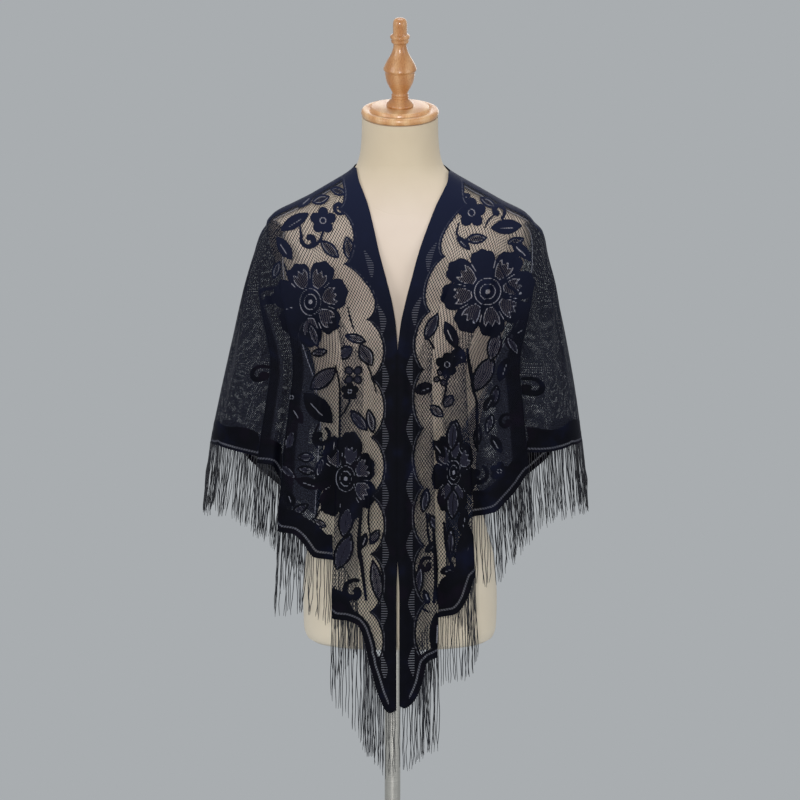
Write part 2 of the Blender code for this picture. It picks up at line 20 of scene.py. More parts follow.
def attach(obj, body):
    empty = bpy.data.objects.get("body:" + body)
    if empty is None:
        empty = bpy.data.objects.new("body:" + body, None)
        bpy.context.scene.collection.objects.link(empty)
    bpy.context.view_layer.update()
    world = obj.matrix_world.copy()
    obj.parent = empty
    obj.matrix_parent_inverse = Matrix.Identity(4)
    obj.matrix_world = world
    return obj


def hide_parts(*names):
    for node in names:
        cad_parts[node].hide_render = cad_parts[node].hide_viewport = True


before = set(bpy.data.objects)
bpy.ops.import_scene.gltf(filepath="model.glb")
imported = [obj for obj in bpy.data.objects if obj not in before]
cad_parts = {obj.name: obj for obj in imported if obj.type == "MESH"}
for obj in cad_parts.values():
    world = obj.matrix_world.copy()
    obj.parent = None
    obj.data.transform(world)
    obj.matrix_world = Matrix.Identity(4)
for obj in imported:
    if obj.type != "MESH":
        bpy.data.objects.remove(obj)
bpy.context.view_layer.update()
bpy.ops.object.select_all(action="DESELECT")
print("solids:", sorted(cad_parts))

# %% [markdown]
# ## Smooth curves through short tables
#
# A garment maker notes a shape as a few sizes at a few heights and lets the cloth run smoothly between them.
# A spline through all the points could overshoot and bulge, so this curve keeps its slope flat wherever the
# values turn. It works on whole arrays, because the lace needs a point every two millimetres.


# %% A curve that never overshoots
class Curve:
    """A smooth curve through (at, value) pairs, sorted by at."""

    def __init__(self, pairs):
        self.at, self.value = np.array(pairs, float).T
        gaps = np.diff(self.at)
        rises = np.diff(self.value) / gaps
        before, after = rises[:-1], rises[1:]
        first, second = 2.0 * gaps[1:] + gaps[:-1], gaps[1:] + 2.0 * gaps[:-1]
        steady = before * after > 0.0
        inner = np.zeros(len(before))
        inner[steady] = (first + second)[steady] / (first / np.where(steady, before, 1.0)
                                                    + second / np.where(steady, after, 1.0))[steady]
        self.slope = np.concatenate([rises[:1], inner, rises[-1:]])

    def __call__(self, at):
        at = np.clip(at, self.at[0], self.at[-1])
        i = np.clip(np.searchsorted(self.at, at) - 1, 0, len(self.at) - 2)
        gap = self.at[i + 1] - self.at[i]
        t = (at - self.at[i]) / gap
        start = (1.0 + 2.0 * t) * self.value[i] + t * gap * self.slope[i]
        end = (3.0 - 2.0 * t) * self.value[i + 1] + (t - 1.0) * gap * self.slope[i + 1]
        return (1.0 - t) ** 2 * start + t * t * end


def curves(rows):
    """A curve for each named column of a table, read by the table's first column."""
    rows = sorted(rows)
    return {name: Curve([(row[0], getattr(row, name)) for row in rows]) for name in rows[0]._fields[1:]}


def smoothstep(start, end, value):
    """0 up to start, 1 from end on, and a soft change between. Start may be the larger."""
    t = np.clip((value - start) / (end - start), 0.0, 1.0)
    return t * t * (3.0 - 2.0 * t)


def signed_power(value, power):
    return np.sign(value) * np.abs(value) ** power


def run_of(steps):
    """How far along a line each of its points lies, from the lengths of the steps between them."""
    return np.concatenate([[0.0], np.cumsum(steps)])


def least(*fields):
    """The smallest of several arrays, point by point."""
    return reduce(np.minimum, fields)


def in_metres(kind, rows, but=()):
    """Rows of a table in millimetres as rows in metres. The columns named in but are no lengths."""
    return [kind(*(value if name in but else value / 1000.0 for name, value in zip(kind._fields, row)))
            for row in rows]


# %% [markdown]
# ## The dress form's sizes
#
# The form is a padded torso with no arms or head. Its sections are rounded ovals, given here from the hips to
# the cut of the neck, which slopes down to the front. These are the sizes the solid has, so the cloth that is
# worked out from them lies on the solid.

# %% Sizes of the form
FORM_X = 0.011  # the form's own middle stands this far to the side of its pole
CAP_TILT = math.radians(16.0)
TILT_FROM = 1.445  # the neck's sections start to slope here

Ring = namedtuple("Ring", "z half_width front back power")
FORM = in_metres(Ring, [
    (740, 127, 95, 100, 2.3), (745, 135, 103, 108, 2.3), (760, 140, 109, 113, 2.3),
    (800, 141.2, 112, 116, 2.3), (850, 138.5, 109, 114, 2.3), (900, 127, 101, 103, 2.3),
    (945, 115, 92, 89, 2.3), (985, 110, 88, 80, 2.3), (1030, 112, 90, 79, 2.3), (1090, 122, 102, 86, 2.3),
    (1150, 139, 115, 96, 2.3), (1190, 150, 117, 101, 2.3), (1240, 165, 109, 105, 2.3),
    (1290, 179, 97, 105, 2.3), (1325, 189, 89, 101, 2.3), (1346, 190, 84, 96, 2.3),
    (1359.4, 180.5, 80, 92, 2.3), (1378, 145, 75, 85, 2.3), (1396.7, 105, 69, 76, 2.2),
    (1415, 77, 63, 68, 2.1), (1430, 62.5, 58, 61, 2), (1450, 57, 55, 56, 2), (1475, 55, 54, 54.5, 2),
    (1500.2, 54.6, 54.6, 54.6, 2),
], but=["power"])
FORM_AT = curves(FORM)
NECK_TOP = FORM[-1].z


def oval(angle, half_width, front, back, power):
    """Points on a rounded oval, by their angle from the front, 0, round to the back, 180 degrees."""
    depth = np.where(np.cos(angle) > 0.0, front, back)
    out = half_width * signed_power(np.sin(angle), 2.0 / power)
    forward = depth * signed_power(np.cos(angle), 2.0 / power)
    return out, forward


# %% [markdown]
# ## How the cloth hangs
#
# The lace lies on the shoulders, falls free of the body below them and hangs in pleats and flutes at the hem.
# A cloth simulation would fold it somewhere else each time, and the folds of this shawl have their places.
# So the drape is worked out instead: lines run over the shoulders from the neck edge down to the hem, the
# hem's table says where each line ends, and the folds open and fade on the way up.

# %% Sizes of the drape
REST_OUT = 0.0014  # where the cloth lies on the form, its middle is this far out from it
REST_UP = 0.0012  # and this much above it
SOFTEN = 0.0030  # how softly the cloth leaves the form
SHOULDER_Z = 1.3400  # the cloth falls free below this
WAVES_END = 1.365  # the folds and waves die out at this height
WAVES_FULL = 1.200  # and stand their full way proud of the fall from here down
FOLDS_END = 1.330  # the cloth starts to turn back behind itself below this
FOLDS_FULL = 1.130  # and lies in full folds from here down
FLAT_FROM = 1.200  # an open S above this height, the folds are pressed flat at the next
FLAT_FULL = 1.090

Fall = namedtuple("Fall", "z left right front back")
FALL_AT = curves(in_metres(Fall, [
    (600, 300, 290, 136, 136), (830, 296, 284, 136, 136), (1030, 274.5, 264, 135, 128),
    (1090, 262.4, 256, 134, 124), (1180, 242, 240, 127, 118), (1252, 225.3, 224.3, 112, 109),
    (1300, 211, 213.5, 96, 100), (1335, 198.5, 205, 83, 90), (1360, 170, 175, 65, 70),
    (1440, 40, 40, 40, 40),
]))
Edge = namedtuple("Edge", "z left right")
EDGE_AT = curves(in_metres(Edge, [
    (600, 5, -1), (830, 5, -1), (890, 3.1, -3.6), (1165, 3.1, -3.6), (1206, 5.5, 0.2), (1238, 10.5, 6.8),
    (1272, 19, 15.8), (1310, 29.3, 26.5), (1350, 38.5, 41), (1376.8, 45.6, 52), (1395, 52.5, 61.5),
    (1410, 58.5, 68), (1435, 64, 70),
]))
TOP_AT_EDGE = {"left": 1.4265, "right": 1.4210}  # the neck edge where the V starts
TOP_AT_NAPE = 1.4340
SIDE_AT_NECK = math.radians(106.0)
SIDE = math.radians(90.0)
SIGN = {"left": -1.0, "right": 1.0}

# %% The hem of each front and of the back
Hem = namedtuple("Hem", "out lift z")
Fold = namedtuple("Fold", "outer inner front rear z z_rear")
Point = namedtuple("Point", "out lift open_lift z")
FOLD_TURN = 0.0026  # radius of the cloth where it turns at a fold's edge
FRONT_HEM = {  # from the tip to the side; the longer rows are folds
    "left": [
        (4.5, 10, 662), (13.5, 10, 659), (31, 10, 688), (41, 10, 722), (60, 9, 785), (78, 8, 790),
        (96, 60, 7, -6, 793, 875), (123, 1, 879), (138, 4, 901), (152, 5, 913),
        (173.5, 137, 4, -9, 915, 986), (183, 1, 1009), (202, 184, 3, -9, 1011, 1017), (222, -2, 1023),
        (252, 1, 1028), (274.5, 0, 1030),
    ],
    "right": [
        (-1.2, 11.6, 669), (5, 11.6, 666), (18.5, 10, 675), (31, 10, 702), (39.5, 9, 732),
        (53, 25, 8, -5, 738, 793), (79, 1, 800), (98.5, 4, 829), (106.5, 67, 4, -12, 849, 936),
        (131.3, -2, 940), (151.2, 2, 959), (168, 4, 980), (183, 143, 3, -11, 996, 1024), (210, -2, 1025),
        (235, 1, 1028), (264, 0, 1033),
    ],
}
Back = namedtuple("Back", "degrees lift z")
BACK_HEM = {
    "left": [
        (101, -4, 1030), (112, 5, 1024), (122, -5, 1008), (132, 6, 986), (141, -4, 959), (150, 7, 930),
        (158, -3, 900), (166, 5, 871), (173, -1, 850), (180, 3, 838),
    ],
    "right": [
        (100, -3, 1032), (110, 6, 1027), (121, -5, 1010), (130, 4, 990), (140, -5, 962), (148, 5, 936),
        (157, -4, 903), (165, 6, 874), (173, 0, 849), (180, 3, 838),
    ],
}

# %% [markdown]
# Besides its folds the cloth has shallow creases, where it was folded away and where the arm would push it.
# Each is a soft ridge, or a trough where its rise is below zero, laid between two places of the hem.

# %% Soft creases
Crease = namedtuple("Crease", "top at_top foot at_foot rise half_width")
CREASE_FADE = 0.30
CREASES = {
    "left": in_metres(Crease, [
        (1320, 640, 1060, 655, 4.5, 12), (1330, 672, 1100, 680, -3, 10), (1300, 318, 1020, 330, 3, 9),
        (1310, 95, 840, 105, 3.2, 12), (1260, 140, 900, 135, -2.2, 10), (1330, 770, 1050, 790, 4, 14),
        (1300, 850, 1000, 862, -3.2, 12), (1320, 925, 960, 915, 4.2, 14), (1280, 1010, 900, 1022, -3, 13),
        (1300, 1075, 880, 1062, 3.6, 12),
    ]),
    "right": in_metres(Crease, [
        (1320, 632, 1060, 640, 4, 12), (1310, 680, 1090, 668, 3.2, 11), (1290, 425, 1030, 432, 3, 10),
        (1300, 215, 900, 208, 2.8, 10), (1250, 60, 850, 52, 2.6, 11), (1330, 765, 1060, 752, -3, 12),
        (1310, 820, 1010, 838, 4.2, 14), (1330, 905, 970, 898, -3.4, 13), (1290, 968, 930, 985, 3.8, 14),
        (1310, 1058, 890, 1049, -3, 12),
    ]),
}


# %% Points of the draped cloth
def reach(column, form_column, z):
    """How far out the cloth's middle lies: on the form where that holds it, and free of it below."""
    on_form = FORM_AT[form_column](z - REST_UP) + REST_OUT
    free = FALL_AT[column](z)
    return 0.5 * (on_form + free + np.hypot(on_form - free, SOFTEN))


def cloth_oval(side, z):
    """The cloth's oval at these heights: its reach to this side, to the front and back, and its power."""
    front, back = (reach(way, way, z) for way in ("front", "back"))
    return reach(side, "half_width", z), front, back, FORM_AT["power"](z)


def angle_of(out, half_width, power):
    """The angle round the body of a point on the front that lies this far out."""
    return np.arcsin(signed_power(np.minimum(out / half_width, 1.0), power / 2.0))


def fall_point(side, angle, z, lift):
    """Points of the cloth at these angles and heights, lift proud of the fall."""
    half_width, front, back, power = cloth_oval(side, z)
    out, forward = oval(angle, half_width, front, back, power)
    depth = np.where(forward > 0.0, front, back)
    across = signed_power(out / half_width, power - 1.0) / half_width
    ahead = signed_power(forward / depth, power - 1.0) / depth
    size = np.hypot(across, ahead)
    out = out + lift * across / size
    forward = forward + lift * ahead / size
    return np.stack([FORM_X + SIGN[side] * out, -forward, z + 0.0 * out], axis=-1)


# %% The hem with its folds
def pleat(fold):
    """The points of the hem round one fold, from its top layer to the one underneath."""
    turn, front, rear = FOLD_TURN, fold.front, fold.rear
    rows = [  # open_lift and z are shares here, of the way from the top layer to the one underneath
        Point(fold.outer - turn, front, 0.0, 0.0),
        Point(fold.outer, front - turn, 0.08, 0.04),
        Point(fold.outer - turn, front - 2.0 * turn, 0.16, 0.08),
        Point(fold.inner + turn, rear + 2.0 * turn, 0.84, 0.45),
        Point(fold.inner, rear + turn, 0.92, 0.50),
        Point(fold.inner + turn, rear, 1.0, 0.55),
        Point(fold.outer, rear, 1.0, 1.0),
    ]
    points = []
    for row in rows:
        open_lift = front + (rear - front) * row.open_lift
        points.append(row._replace(open_lift=open_lift, z=fold.z + (fold.z_rear - fold.z) * row.z))
    return points


def hem_table(side):
    """The whole hem of one side as curves by its length, from the tip to the middle of the back."""
    rows = []
    for row in FRONT_HEM[side]:
        if len(row) > len(Hem._fields):
            points = pleat(*in_metres(Fold, [row]))
        else:
            points = [Point(hem.out, hem.lift, hem.lift, hem.z) for hem in in_metres(Hem, [row])]
        for point in points:
            half_width, _, _, power = cloth_oval(side, point.z)
            angle = min(angle_of(point.out, half_width, power), SIDE)
            rows.append((angle, point.lift, point.z, point.open_lift))
    side_row = len(rows) - 1
    rows[side_row] = (SIDE, *rows[side_row][1:])
    behind = in_metres(Back, BACK_HEM[side], but=["degrees"])
    rows += [(math.radians(row.degrees), row.lift, row.z, row.lift) for row in behind]
    angle, lift, z, open_lift = np.array(rows).T
    points = fall_point(side, angle, z, lift)
    stations = run_of(np.linalg.norm(np.diff(points, axis=0), axis=1))
    columns = {name: Curve(list(zip(stations, values))) for name, values in
               (("angle", angle), ("lift", lift), ("z", z), ("open_lift", open_lift))}
    return {**columns, "side": stations[side_row], "end": stations[-1]}


# %% The whole drape
def crease_lift(side, s, z):
    """How far the soft creases raise or sink the cloth."""
    lift = 0.0 * s * z
    for row in CREASES[side]:
        down = (row.top - z) / (row.top - row.foot)
        middle = row.at_top + (row.at_foot - row.at_top) * np.clip(down, 0.0, 1.0)
        lift = lift + (row.rise * np.exp(-((s - middle) / row.half_width) ** 2)
                       * smoothstep(0.0, CREASE_FADE, down) * smoothstep(1.0, 1.0 - CREASE_FADE, down))
    return lift


def cloth_point(side, hem, s, z):
    """Points of the cloth on the lines down from the neck that meet the hem at s."""
    fold = smoothstep(FOLDS_END, FOLDS_FULL, z)
    flat = smoothstep(FLAT_FROM, FLAT_FULL, z)
    lift = hem["open_lift"](s) * (1.0 - flat) + hem["lift"](s) * flat
    lift = lift * smoothstep(WAVES_END, WAVES_FULL, z) + crease_lift(side, s, z)
    edge_z = np.minimum(z, TOP_AT_EDGE[side])
    half_width, _, _, power = cloth_oval(side, edge_z)
    edge = angle_of(EDGE_AT[side](edge_z), half_width, power)
    shoulder = SIDE + (SIDE_AT_NECK - SIDE) * smoothstep(SHOULDER_Z, TOP_AT_NAPE, z)
    start = hem["angle"](0.0)
    even = start + (SIDE - start) * s / hem["side"]
    folded = even + (hem["angle"](s) - even) * fold
    before_side = edge + (folded - start) * (shoulder - edge) / (SIDE - start)
    share = (hem["angle"](s) - SIDE) / (math.pi - SIDE)
    past_side = shoulder + (math.pi - shoulder) * share
    return fall_point(side, np.where(s < hem["side"], before_side, past_side), z, lift)


HEMS = {side: hem_table(side) for side in SIGN}
for side, hem in HEMS.items():
    print(side, "hem, tip to side %.3f m, to the middle of the back %.3f m" % (hem["side"], hem["end"]))

# %% [markdown]
# ## A mesh fine enough to carry the lace
#
# The lace pattern is carried by numbers stored on the sheet's own points, so the sheet needs a point about
# every two millimetres. Columns run from the neck edge to the hem, closer together where the cloth turns
# round a fold. Rows are level below the shoulder, and each column stops where it meets the hem.

# %% Sizes of the mesh
FRONT_STEP = 0.00205
BACK_STEP = 0.0024
TURN_STEP = math.radians(20.0)  # a column at least this often round a fold
COLUMNS_AT = 1.045  # columns are spaced evenly at this height, where the folds are full
YOKE_ROWS = 62  # rows from the neck edge to the shoulder
HEM_SCALLOP = 0.0030  # how deep the shallow scallops of the hem are
HEM_PITCH = 0.0840
LOWEST = 0.640  # rows are laid out down to here
HEM_TRIES, YOKE_TRIES = 8000, 240  # places tried along the hem, and down the yoke, to space points evenly


# %% Columns and rows of points
def column_places(side, start, end, step):
    """Where the columns meet the hem, by its length."""
    fine = np.linspace(start, end, HEM_TRIES)
    moves = np.diff(cloth_point(side, HEMS[side], fine, COLUMNS_AT), axis=0)[:, :2]
    heading = np.unwrap(np.arctan2(moves[:, 1], moves[:, 0]))
    turning = np.abs(np.diff(heading, prepend=heading[0]))
    cost = run_of(np.linalg.norm(moves, axis=1) / step + turning / TURN_STEP)
    return np.interp(np.linspace(0.0, cost[-1], int(cost[-1]) + 2), cost, fine)


def hem_height(side, s):
    """The hem's height, with its shallow scallops."""
    along = ((HEMS[side]["end"] - s) / HEM_PITCH + 0.5) % 1.0
    arch = np.sqrt(np.clip(1.0 - (2.0 * along - 1.0) ** 2, 0.0, 1.0))
    return HEMS[side]["z"](s) + HEM_SCALLOP * (1.0 - arch)


def neck_height(side, s):
    return TOP_AT_EDGE[side] + (TOP_AT_NAPE - TOP_AT_EDGE[side]) * smoothstep(0.0, HEMS[side]["end"], s)


# %% Hang the cloth from the neck to the hem
def lengths_down(points):
    """The length of the cloth down each column, from its top."""
    steps = np.linalg.norm(np.diff(points, axis=1), axis=2)
    return np.concatenate([np.zeros((len(points), 1)), np.cumsum(steps, axis=1)], axis=1)


def hang_cloth(side, s, step):
    """Points of the cloth, column by column, and the last row of each column."""
    hem = HEMS[side]
    top, bottom = neck_height(side, s), hem_height(side, s)
    fine = np.linspace(0.0, 1.0, YOKE_TRIES)
    heights = top[:, None] + (SHOULDER_Z - top[:, None]) * fine
    down = lengths_down(cloth_point(side, hem, s[:, None], heights))
    even = np.linspace(0.0, 1.0, YOKE_ROWS, endpoint=False)
    yoke = np.array([np.interp(even * d[-1], d, z) for d, z in zip(down, heights)])
    drop = np.arange(SHOULDER_Z, LOWEST, -step)
    level = np.maximum(drop[None, :], bottom[:, None])
    z = np.concatenate([yoke, level], axis=1)
    last = YOKE_ROWS + np.argmax(level <= bottom[:, None], axis=1)
    return cloth_point(side, hem, s[:, None], z), last


# %% Make a mesh of the points
def new_piece(name, points, faces, edges=()):
    """An object at the origin with a mesh of these points, linked to the scene."""
    mesh = bpy.data.meshes.new(name)
    mesh.from_pydata(points.tolist(), edges, faces)
    mesh.update()
    piece = bpy.data.objects.new(name, mesh)
    bpy.context.scene.collection.objects.link(piece)
    return piece


def weave_sheet(name, points, last, outward):
    """A mesh over columns of points, each down to its last row, facing outward (1) or turned over (-1)."""
    columns, rows = points.shape[:2]
    used = np.arange(rows)[None, :] <= last[:, None]
    index = np.cumsum(used.ravel()).reshape(used.shape) - 1
    i, j = np.nonzero(used[:-1, 1:] & used[1:, 1:])
    quads = np.stack([index[i, j], index[i, j + 1], index[i + 1, j + 1], index[i + 1, j]], axis=1)
    faces = quads[:, ::outward].tolist()
    for column in range(columns - 1):
        low, high = sorted((last[column], last[column + 1]))
        on_left = last[column] > last[column + 1]
        longer, shorter = (column, column + 1) if on_left else (column + 1, column)
        for row in range(low, high):
            corners = (index[longer, row], index[longer, row + 1], index[shorter, low])
            faces.append(corners[::outward if on_left else -outward])
    return new_piece(name, points[used], faces), used


# %% Cut the three stretches of the cloth
Stretch = namedtuple("Stretch", "side s points last")


def stretch(side, start, end, step):
    """The cloth between two places of the hem."""
    s = column_places(side, start, end, step)
    points, last = hang_cloth(side, s, step)
    return Stretch(np.full(len(s), SIGN[side]), s, points, last)


def joined_behind(left, right):
    """The two halves of the back as one stretch, from the left side round to the right."""
    turned = [np.concatenate([a[:-1], b[::-1]]) for a, b in zip(left, right)]
    return Stretch(*turned)


fronts = {side: stretch(side, 0.0, HEMS[side]["side"], FRONT_STEP) for side in SIGN}
back = joined_behind(*(stretch(side, HEMS[side]["side"], HEMS[side]["end"], BACK_STEP) for side in SIGN))
cloths = {"lace_front_left": fronts["left"], "lace_front_right": fronts["right"], "lace_back": back}
for name, cloth in cloths.items():
    print(name, "columns", len(cloth.s), "points", int((cloth.last + 1).sum()))

# %% [markdown]
# ## Measures on the cloth
#
# A lace maker draws the pattern on flat cloth, so the sheet's points need their places on it: how far each
# lies from the front edge round the body, how far down from the neck edge, and so how far it is from the long
# edge that the scalloped band follows. All of these are lengths along the cloth, with the folds laid open.


# %% Lengths along the cloth
Measures = namedtuple("Measures", "across down from_neck from_hem")
LEVEL_Z = 1.200  # lengths up and down the cloth are counted from this height


def measure(cloth, from_middle):
    """Lengths in metres along the cloth at each of its points."""
    points = cloth.points
    steps = np.linalg.norm(np.diff(points, axis=0), axis=2)
    across = np.concatenate([np.zeros((1, points.shape[1])), np.cumsum(steps, axis=0)])
    if from_middle:
        middle = np.argmax(cloth.s)
        across = across - across[middle]
    from_neck = lengths_down(points)
    level_row = np.argmax(points[:, :, 2] <= LEVEL_Z, axis=1)
    rows = np.arange(len(points))
    down = from_neck - from_neck[rows, level_row][:, None]
    from_hem = from_neck[rows, cloth.last][:, None] - from_neck
    return Measures(across, down, from_neck, from_hem)


measures = {name: measure(cloth, name == "lace_back") for name, cloth in cloths.items()}
for name, lengths in measures.items():
    across = np.ptp(lengths.across[:, YOKE_ROWS])
    print(name, "across %.3f m, down %.3f m" % (across, lengths.from_neck.max()))

# %% Weave the three sheets
sheets, points_used = {}, {}
for name, cloth in cloths.items():
    outward = 1 if name == "lace_front_right" else -1
    sheets[name], points_used[name] = weave_sheet(name, cloth.points, cloth.last, outward)
    sheets[name].data.shade_smooth()
    print(name, "faces", len(sheets[name].data.polygons))

# %% [markdown]
# ## Drawing the lace
#
# Warp-knitted lace is one layer of thread worked more or less densely: an open diamond net, a dense ground
# that is nearly closed, solid clothwork for the motifs and bands, a sheer filling inside petals and leaves,
# and thin openwork lines that outline them. Cutting some hundred thousand holes in a mesh would be hopeless,
# so the sheet's points carry signed distances instead: how far each lies inside the clothwork, inside a
# sheer filling and from the nearest openwork line. The material turns those into thread and holes, and the
# edges stay crisp because a distance runs evenly from point to point.


# %% A drawing on one stretch of cloth
FAR = 0.050
BESIDE = 0.0025  # how close to a motif's place a point of the cloth has to be to carry it
SEEN_WITHIN, CLOTH_WITHIN = 1.3, 2.2  # how far a motif's points may lie, in reaches, through air and cloth
FACING_TO = 0.165  # motifs nearer the middle than this face straight forward or back


class Drawing:
    """Signed distances in metres at the sheet's points, positive inside."""

    def __init__(self, name):
        used = points_used[name]
        mesh = sheets[name].data
        self.cloth, self.used = cloths[name], used
        self.place = self.cloth.points[used]
        self.normal = np.array([v.vector for v in mesh.vertex_normals])
        self.lengths = Measures(*(field[used] for field in measures[name]))
        self.solid, self.sheer, self.line = (np.full(len(self.place), value) for value in (-FAR, -FAR, FAR))

    def seat_at(self, x, z):
        """The point seen from outside at this place and height. Cloth under a fold is not chosen."""
        gap = np.maximum(np.abs(self.place[:, 0] - x), np.abs(self.place[:, 2] - z))
        near = np.nonzero(gap < max(BESIDE, gap.min() * 1.01))[0]
        outward = np.abs(self.place[near, 1])
        return near[np.argmax(outward)]

    def flat_from(self, seat, reach):
        """Points within reach of a seat on the same layer: their numbers and (right, up) places.

        Shallow folds are looked across, so a flower that lies over one stays round as seen from outside."""
        offset = self.place - self.place[seat]
        across = self.lengths.across - self.lengths.across[seat]
        seen = np.linalg.norm(offset, axis=1) < SEEN_WITHIN * reach
        numbers = np.nonzero(seen & (np.abs(across) < CLOTH_WITHIN * reach))[0]
        outward = self.place[seat] * [1.0, 1.0, 0.0]
        if abs(outward[0]) < FACING_TO:
            outward[0] = 0.0
        outward /= np.linalg.norm(outward)
        right = np.cross([0.0, 0.0, 1.0], outward)
        return numbers, offset[numbers] @ right, offset[numbers, 2]

    def work(self, numbers, solid, sheer=None, line=None):
        """Works a motif over what is there. Each argument is an array of distances in metres."""
        inside = solid > 0.0
        self.sheer[numbers] = np.minimum(self.sheer[numbers], -solid)
        self.line[numbers] = np.where(inside, FAR, self.line[numbers])
        self.solid[numbers] = np.maximum(self.solid[numbers], solid)
        if sheer is not None:
            self.sheer[numbers] = np.maximum(self.sheer[numbers], sheer)
        if line is not None:
            self.line[numbers] = np.minimum(self.line[numbers], np.abs(line))


# %% The motifs
PETAL_RIM = 0.74  # a petal's sheer filling ends at this share of the flower's radius
FILLING_FROM = 0.36  # and starts at this one
EYE_RINGS = (0.29, 0.17)  # the openwork rings of its eye
PUPIL = 0.045
PARTING_FROM, PARTING_TO = 0.50, 0.70  # the light lines between the petals
NOTCH = 0.28  # how deep the notches between the petals are, as a share of the radius
TEETH, TOOTH = 6.5, 0.24  # the filling's toothed end: teeth in a radius, and their depth
BLOSSOM_NOTCH, BLOSSOM_EYE = 0.38, 0.22
RING_PETAL, RING_REACH = 0.42, 0.58  # a ring's radius and how far out it lies, as shares of the blossom's
RING_RIM = 0.0022
LEAF_RIM = 0.0032
LEAF_LINE_SPARE = 0.0003  # a leaf's openwork line is this much finer each way than a petal's
MIDRIB = 0.0007
SCROLL_SWEEP = math.radians(300.0)
SCROLL_CURL = 0.72  # how far it winds in, as a share of its size


def turned_by(degrees, u, v):
    c, s = math.cos(math.radians(degrees)), math.sin(math.radians(degrees))
    return u * c + v * s, v * c - u * s


# %% Round flowers
def round_lobes(u, v, petals, turn, power):
    """Distances from the middle, angles from the first petal, and 1 in a petal's middle down to 0 beside."""
    angle = np.arctan2(v, u) - math.radians(turn)
    return np.hypot(u, v), angle, np.abs(np.cos(0.5 * petals * angle)) ** power


def flower(u, v, radius, petals, turn, filled, narrow):
    """A round flower seen from above, with a ringed eye and toothed sheer fillings in some of its petals."""
    u = u / narrow
    r, angle, lobe = round_lobes(u, v, petals, turn, 0.5)
    uneven = 1.0 + 0.05 * np.sin(2.0 * angle + 1.3) + 0.04 * np.sin(3.0 * angle + 0.5)
    frilled = 0.018 * np.cos(petals * 3.0 * angle)
    solid = (radius * (uneven * (1.0 - NOTCH + NOTCH * lobe) + frilled) - r) * 0.9
    sheer = np.full(len(u), -FAR)
    for petal in filled:
        x, y = turned_by(turn + 360.0 * petal / petals, u, v)
        share = np.clip((x / radius - FILLING_FROM) / (PETAL_RIM - FILLING_FROM), 0.0, 1.0)
        half = radius * (0.04 + 0.155 * np.sin(math.pi * (0.06 + 0.60 * share))) * 7.0 / petals
        teeth = np.abs((y / radius * TEETH) % 1.0 - 0.5) * TOOTH - 0.10
        teeth = radius * (PETAL_RIM + teeth) - y * y / radius
        inside = least(half - np.abs(y), 0.7 * (teeth - x), x - FILLING_FROM * radius)
        sheer = np.maximum(sheer, inside)
    rings = [np.abs(r - ring * radius) for ring in EYE_RINGS]
    between = np.abs((0.5 * petals * angle / math.pi) % 1.0 - 0.5) * 2.0 * math.pi / petals * r
    parting = np.where((r > PARTING_FROM * radius) & (r < PARTING_TO * radius), between, FAR)
    line = least(*rings, np.maximum(r - PUPIL * radius, 0.0), np.abs(sheer), parting)
    return solid, sheer, line


def blossom(u, v, radius, petals, turn):
    """A small flower with round petals and a light eye."""
    r, _, lobe = round_lobes(u, v, petals, turn, 0.7)
    solid = radius * (1.0 - BLOSSOM_NOTCH + BLOSSOM_NOTCH * lobe) - r
    return solid, None, np.abs(r - BLOSSOM_EYE * radius)


def ring_blossom(u, v, radius, petals, turn):
    """A small flower whose petals are rings with sheer middles."""
    solid = np.full(len(u), -FAR)
    for petal in range(petals):
        x, y = turned_by(turn + 360.0 * petal / petals, u, v)
        solid = np.maximum(solid, RING_PETAL * radius - np.hypot(x - RING_REACH * radius, y * 1.15))
    return solid, solid - RING_RIM, None


# %% Leaves
def leaf(u, v, length, width, turn):
    """A pointed leaf, solid but for a glint beside its middle."""
    x, y = turned_by(turn, u, v)
    half = 0.5 * width * np.clip(1.0 - (2.0 * x / length) ** 2, 0.0, 1.0) ** 0.9
    past = np.maximum(np.abs(x) - 0.5 * length, 0.0)
    solid = (half - np.abs(y)) * 0.9 - past
    return solid, None, np.hypot(np.maximum(np.abs(x) - 0.20 * length, 0.0), y + 0.10 * width)


def sheer_leaf(u, v, length, width, turn):
    """A pointed leaf with a solid rim and a midrib across its sheer filling."""
    solid = leaf(u, v, length, width, turn)[0]
    x, y = turned_by(turn, u, v)
    rim = min(LEAF_RIM, 0.24 * width)
    sheer = np.minimum(solid - rim, np.abs(y + 0.5 * (x / length) ** 2 * width) - MIDRIB)
    return solid, sheer, np.abs(solid - rim) + LEAF_LINE_SPARE


# %% Scrolls and stems
def to_line(u, v, bends):
    """Distance to a line through (u, v) bends, and how far along it the nearest place is, from 0 to 1."""
    best, along = np.full(len(u), FAR * 4.0), np.zeros(len(u))
    for k, (a, b) in enumerate(zip(bends[:-1], bends[1:])):
        step = b - a
        t = np.clip(((u - a[0]) * step[0] + (v - a[1]) * step[1]) / (step @ step), 0.0, 1.0)
        gap = np.hypot(u - a[0] - t * step[0], v - a[1] - t * step[1])
        closer = gap < best
        best, along = np.where(closer, gap, best), np.where(closer, (k + t) / (len(bends) - 1), along)
    return best, along


def scroll(u, v, size, turn, hand):
    """A tendril that curls in on itself, thicker towards its curl."""
    t = np.linspace(0.0, 1.0, 26)
    swing = math.radians(turn) + hand * t * SCROLL_SWEEP
    reach = size * (1.0 - SCROLL_CURL * t)
    bends = np.stack([reach * np.cos(swing), reach * np.sin(swing)], axis=1)
    gap, along = to_line(u, v, bends)
    return size * (0.12 + 0.19 * along) + 0.0006 - gap, None, None


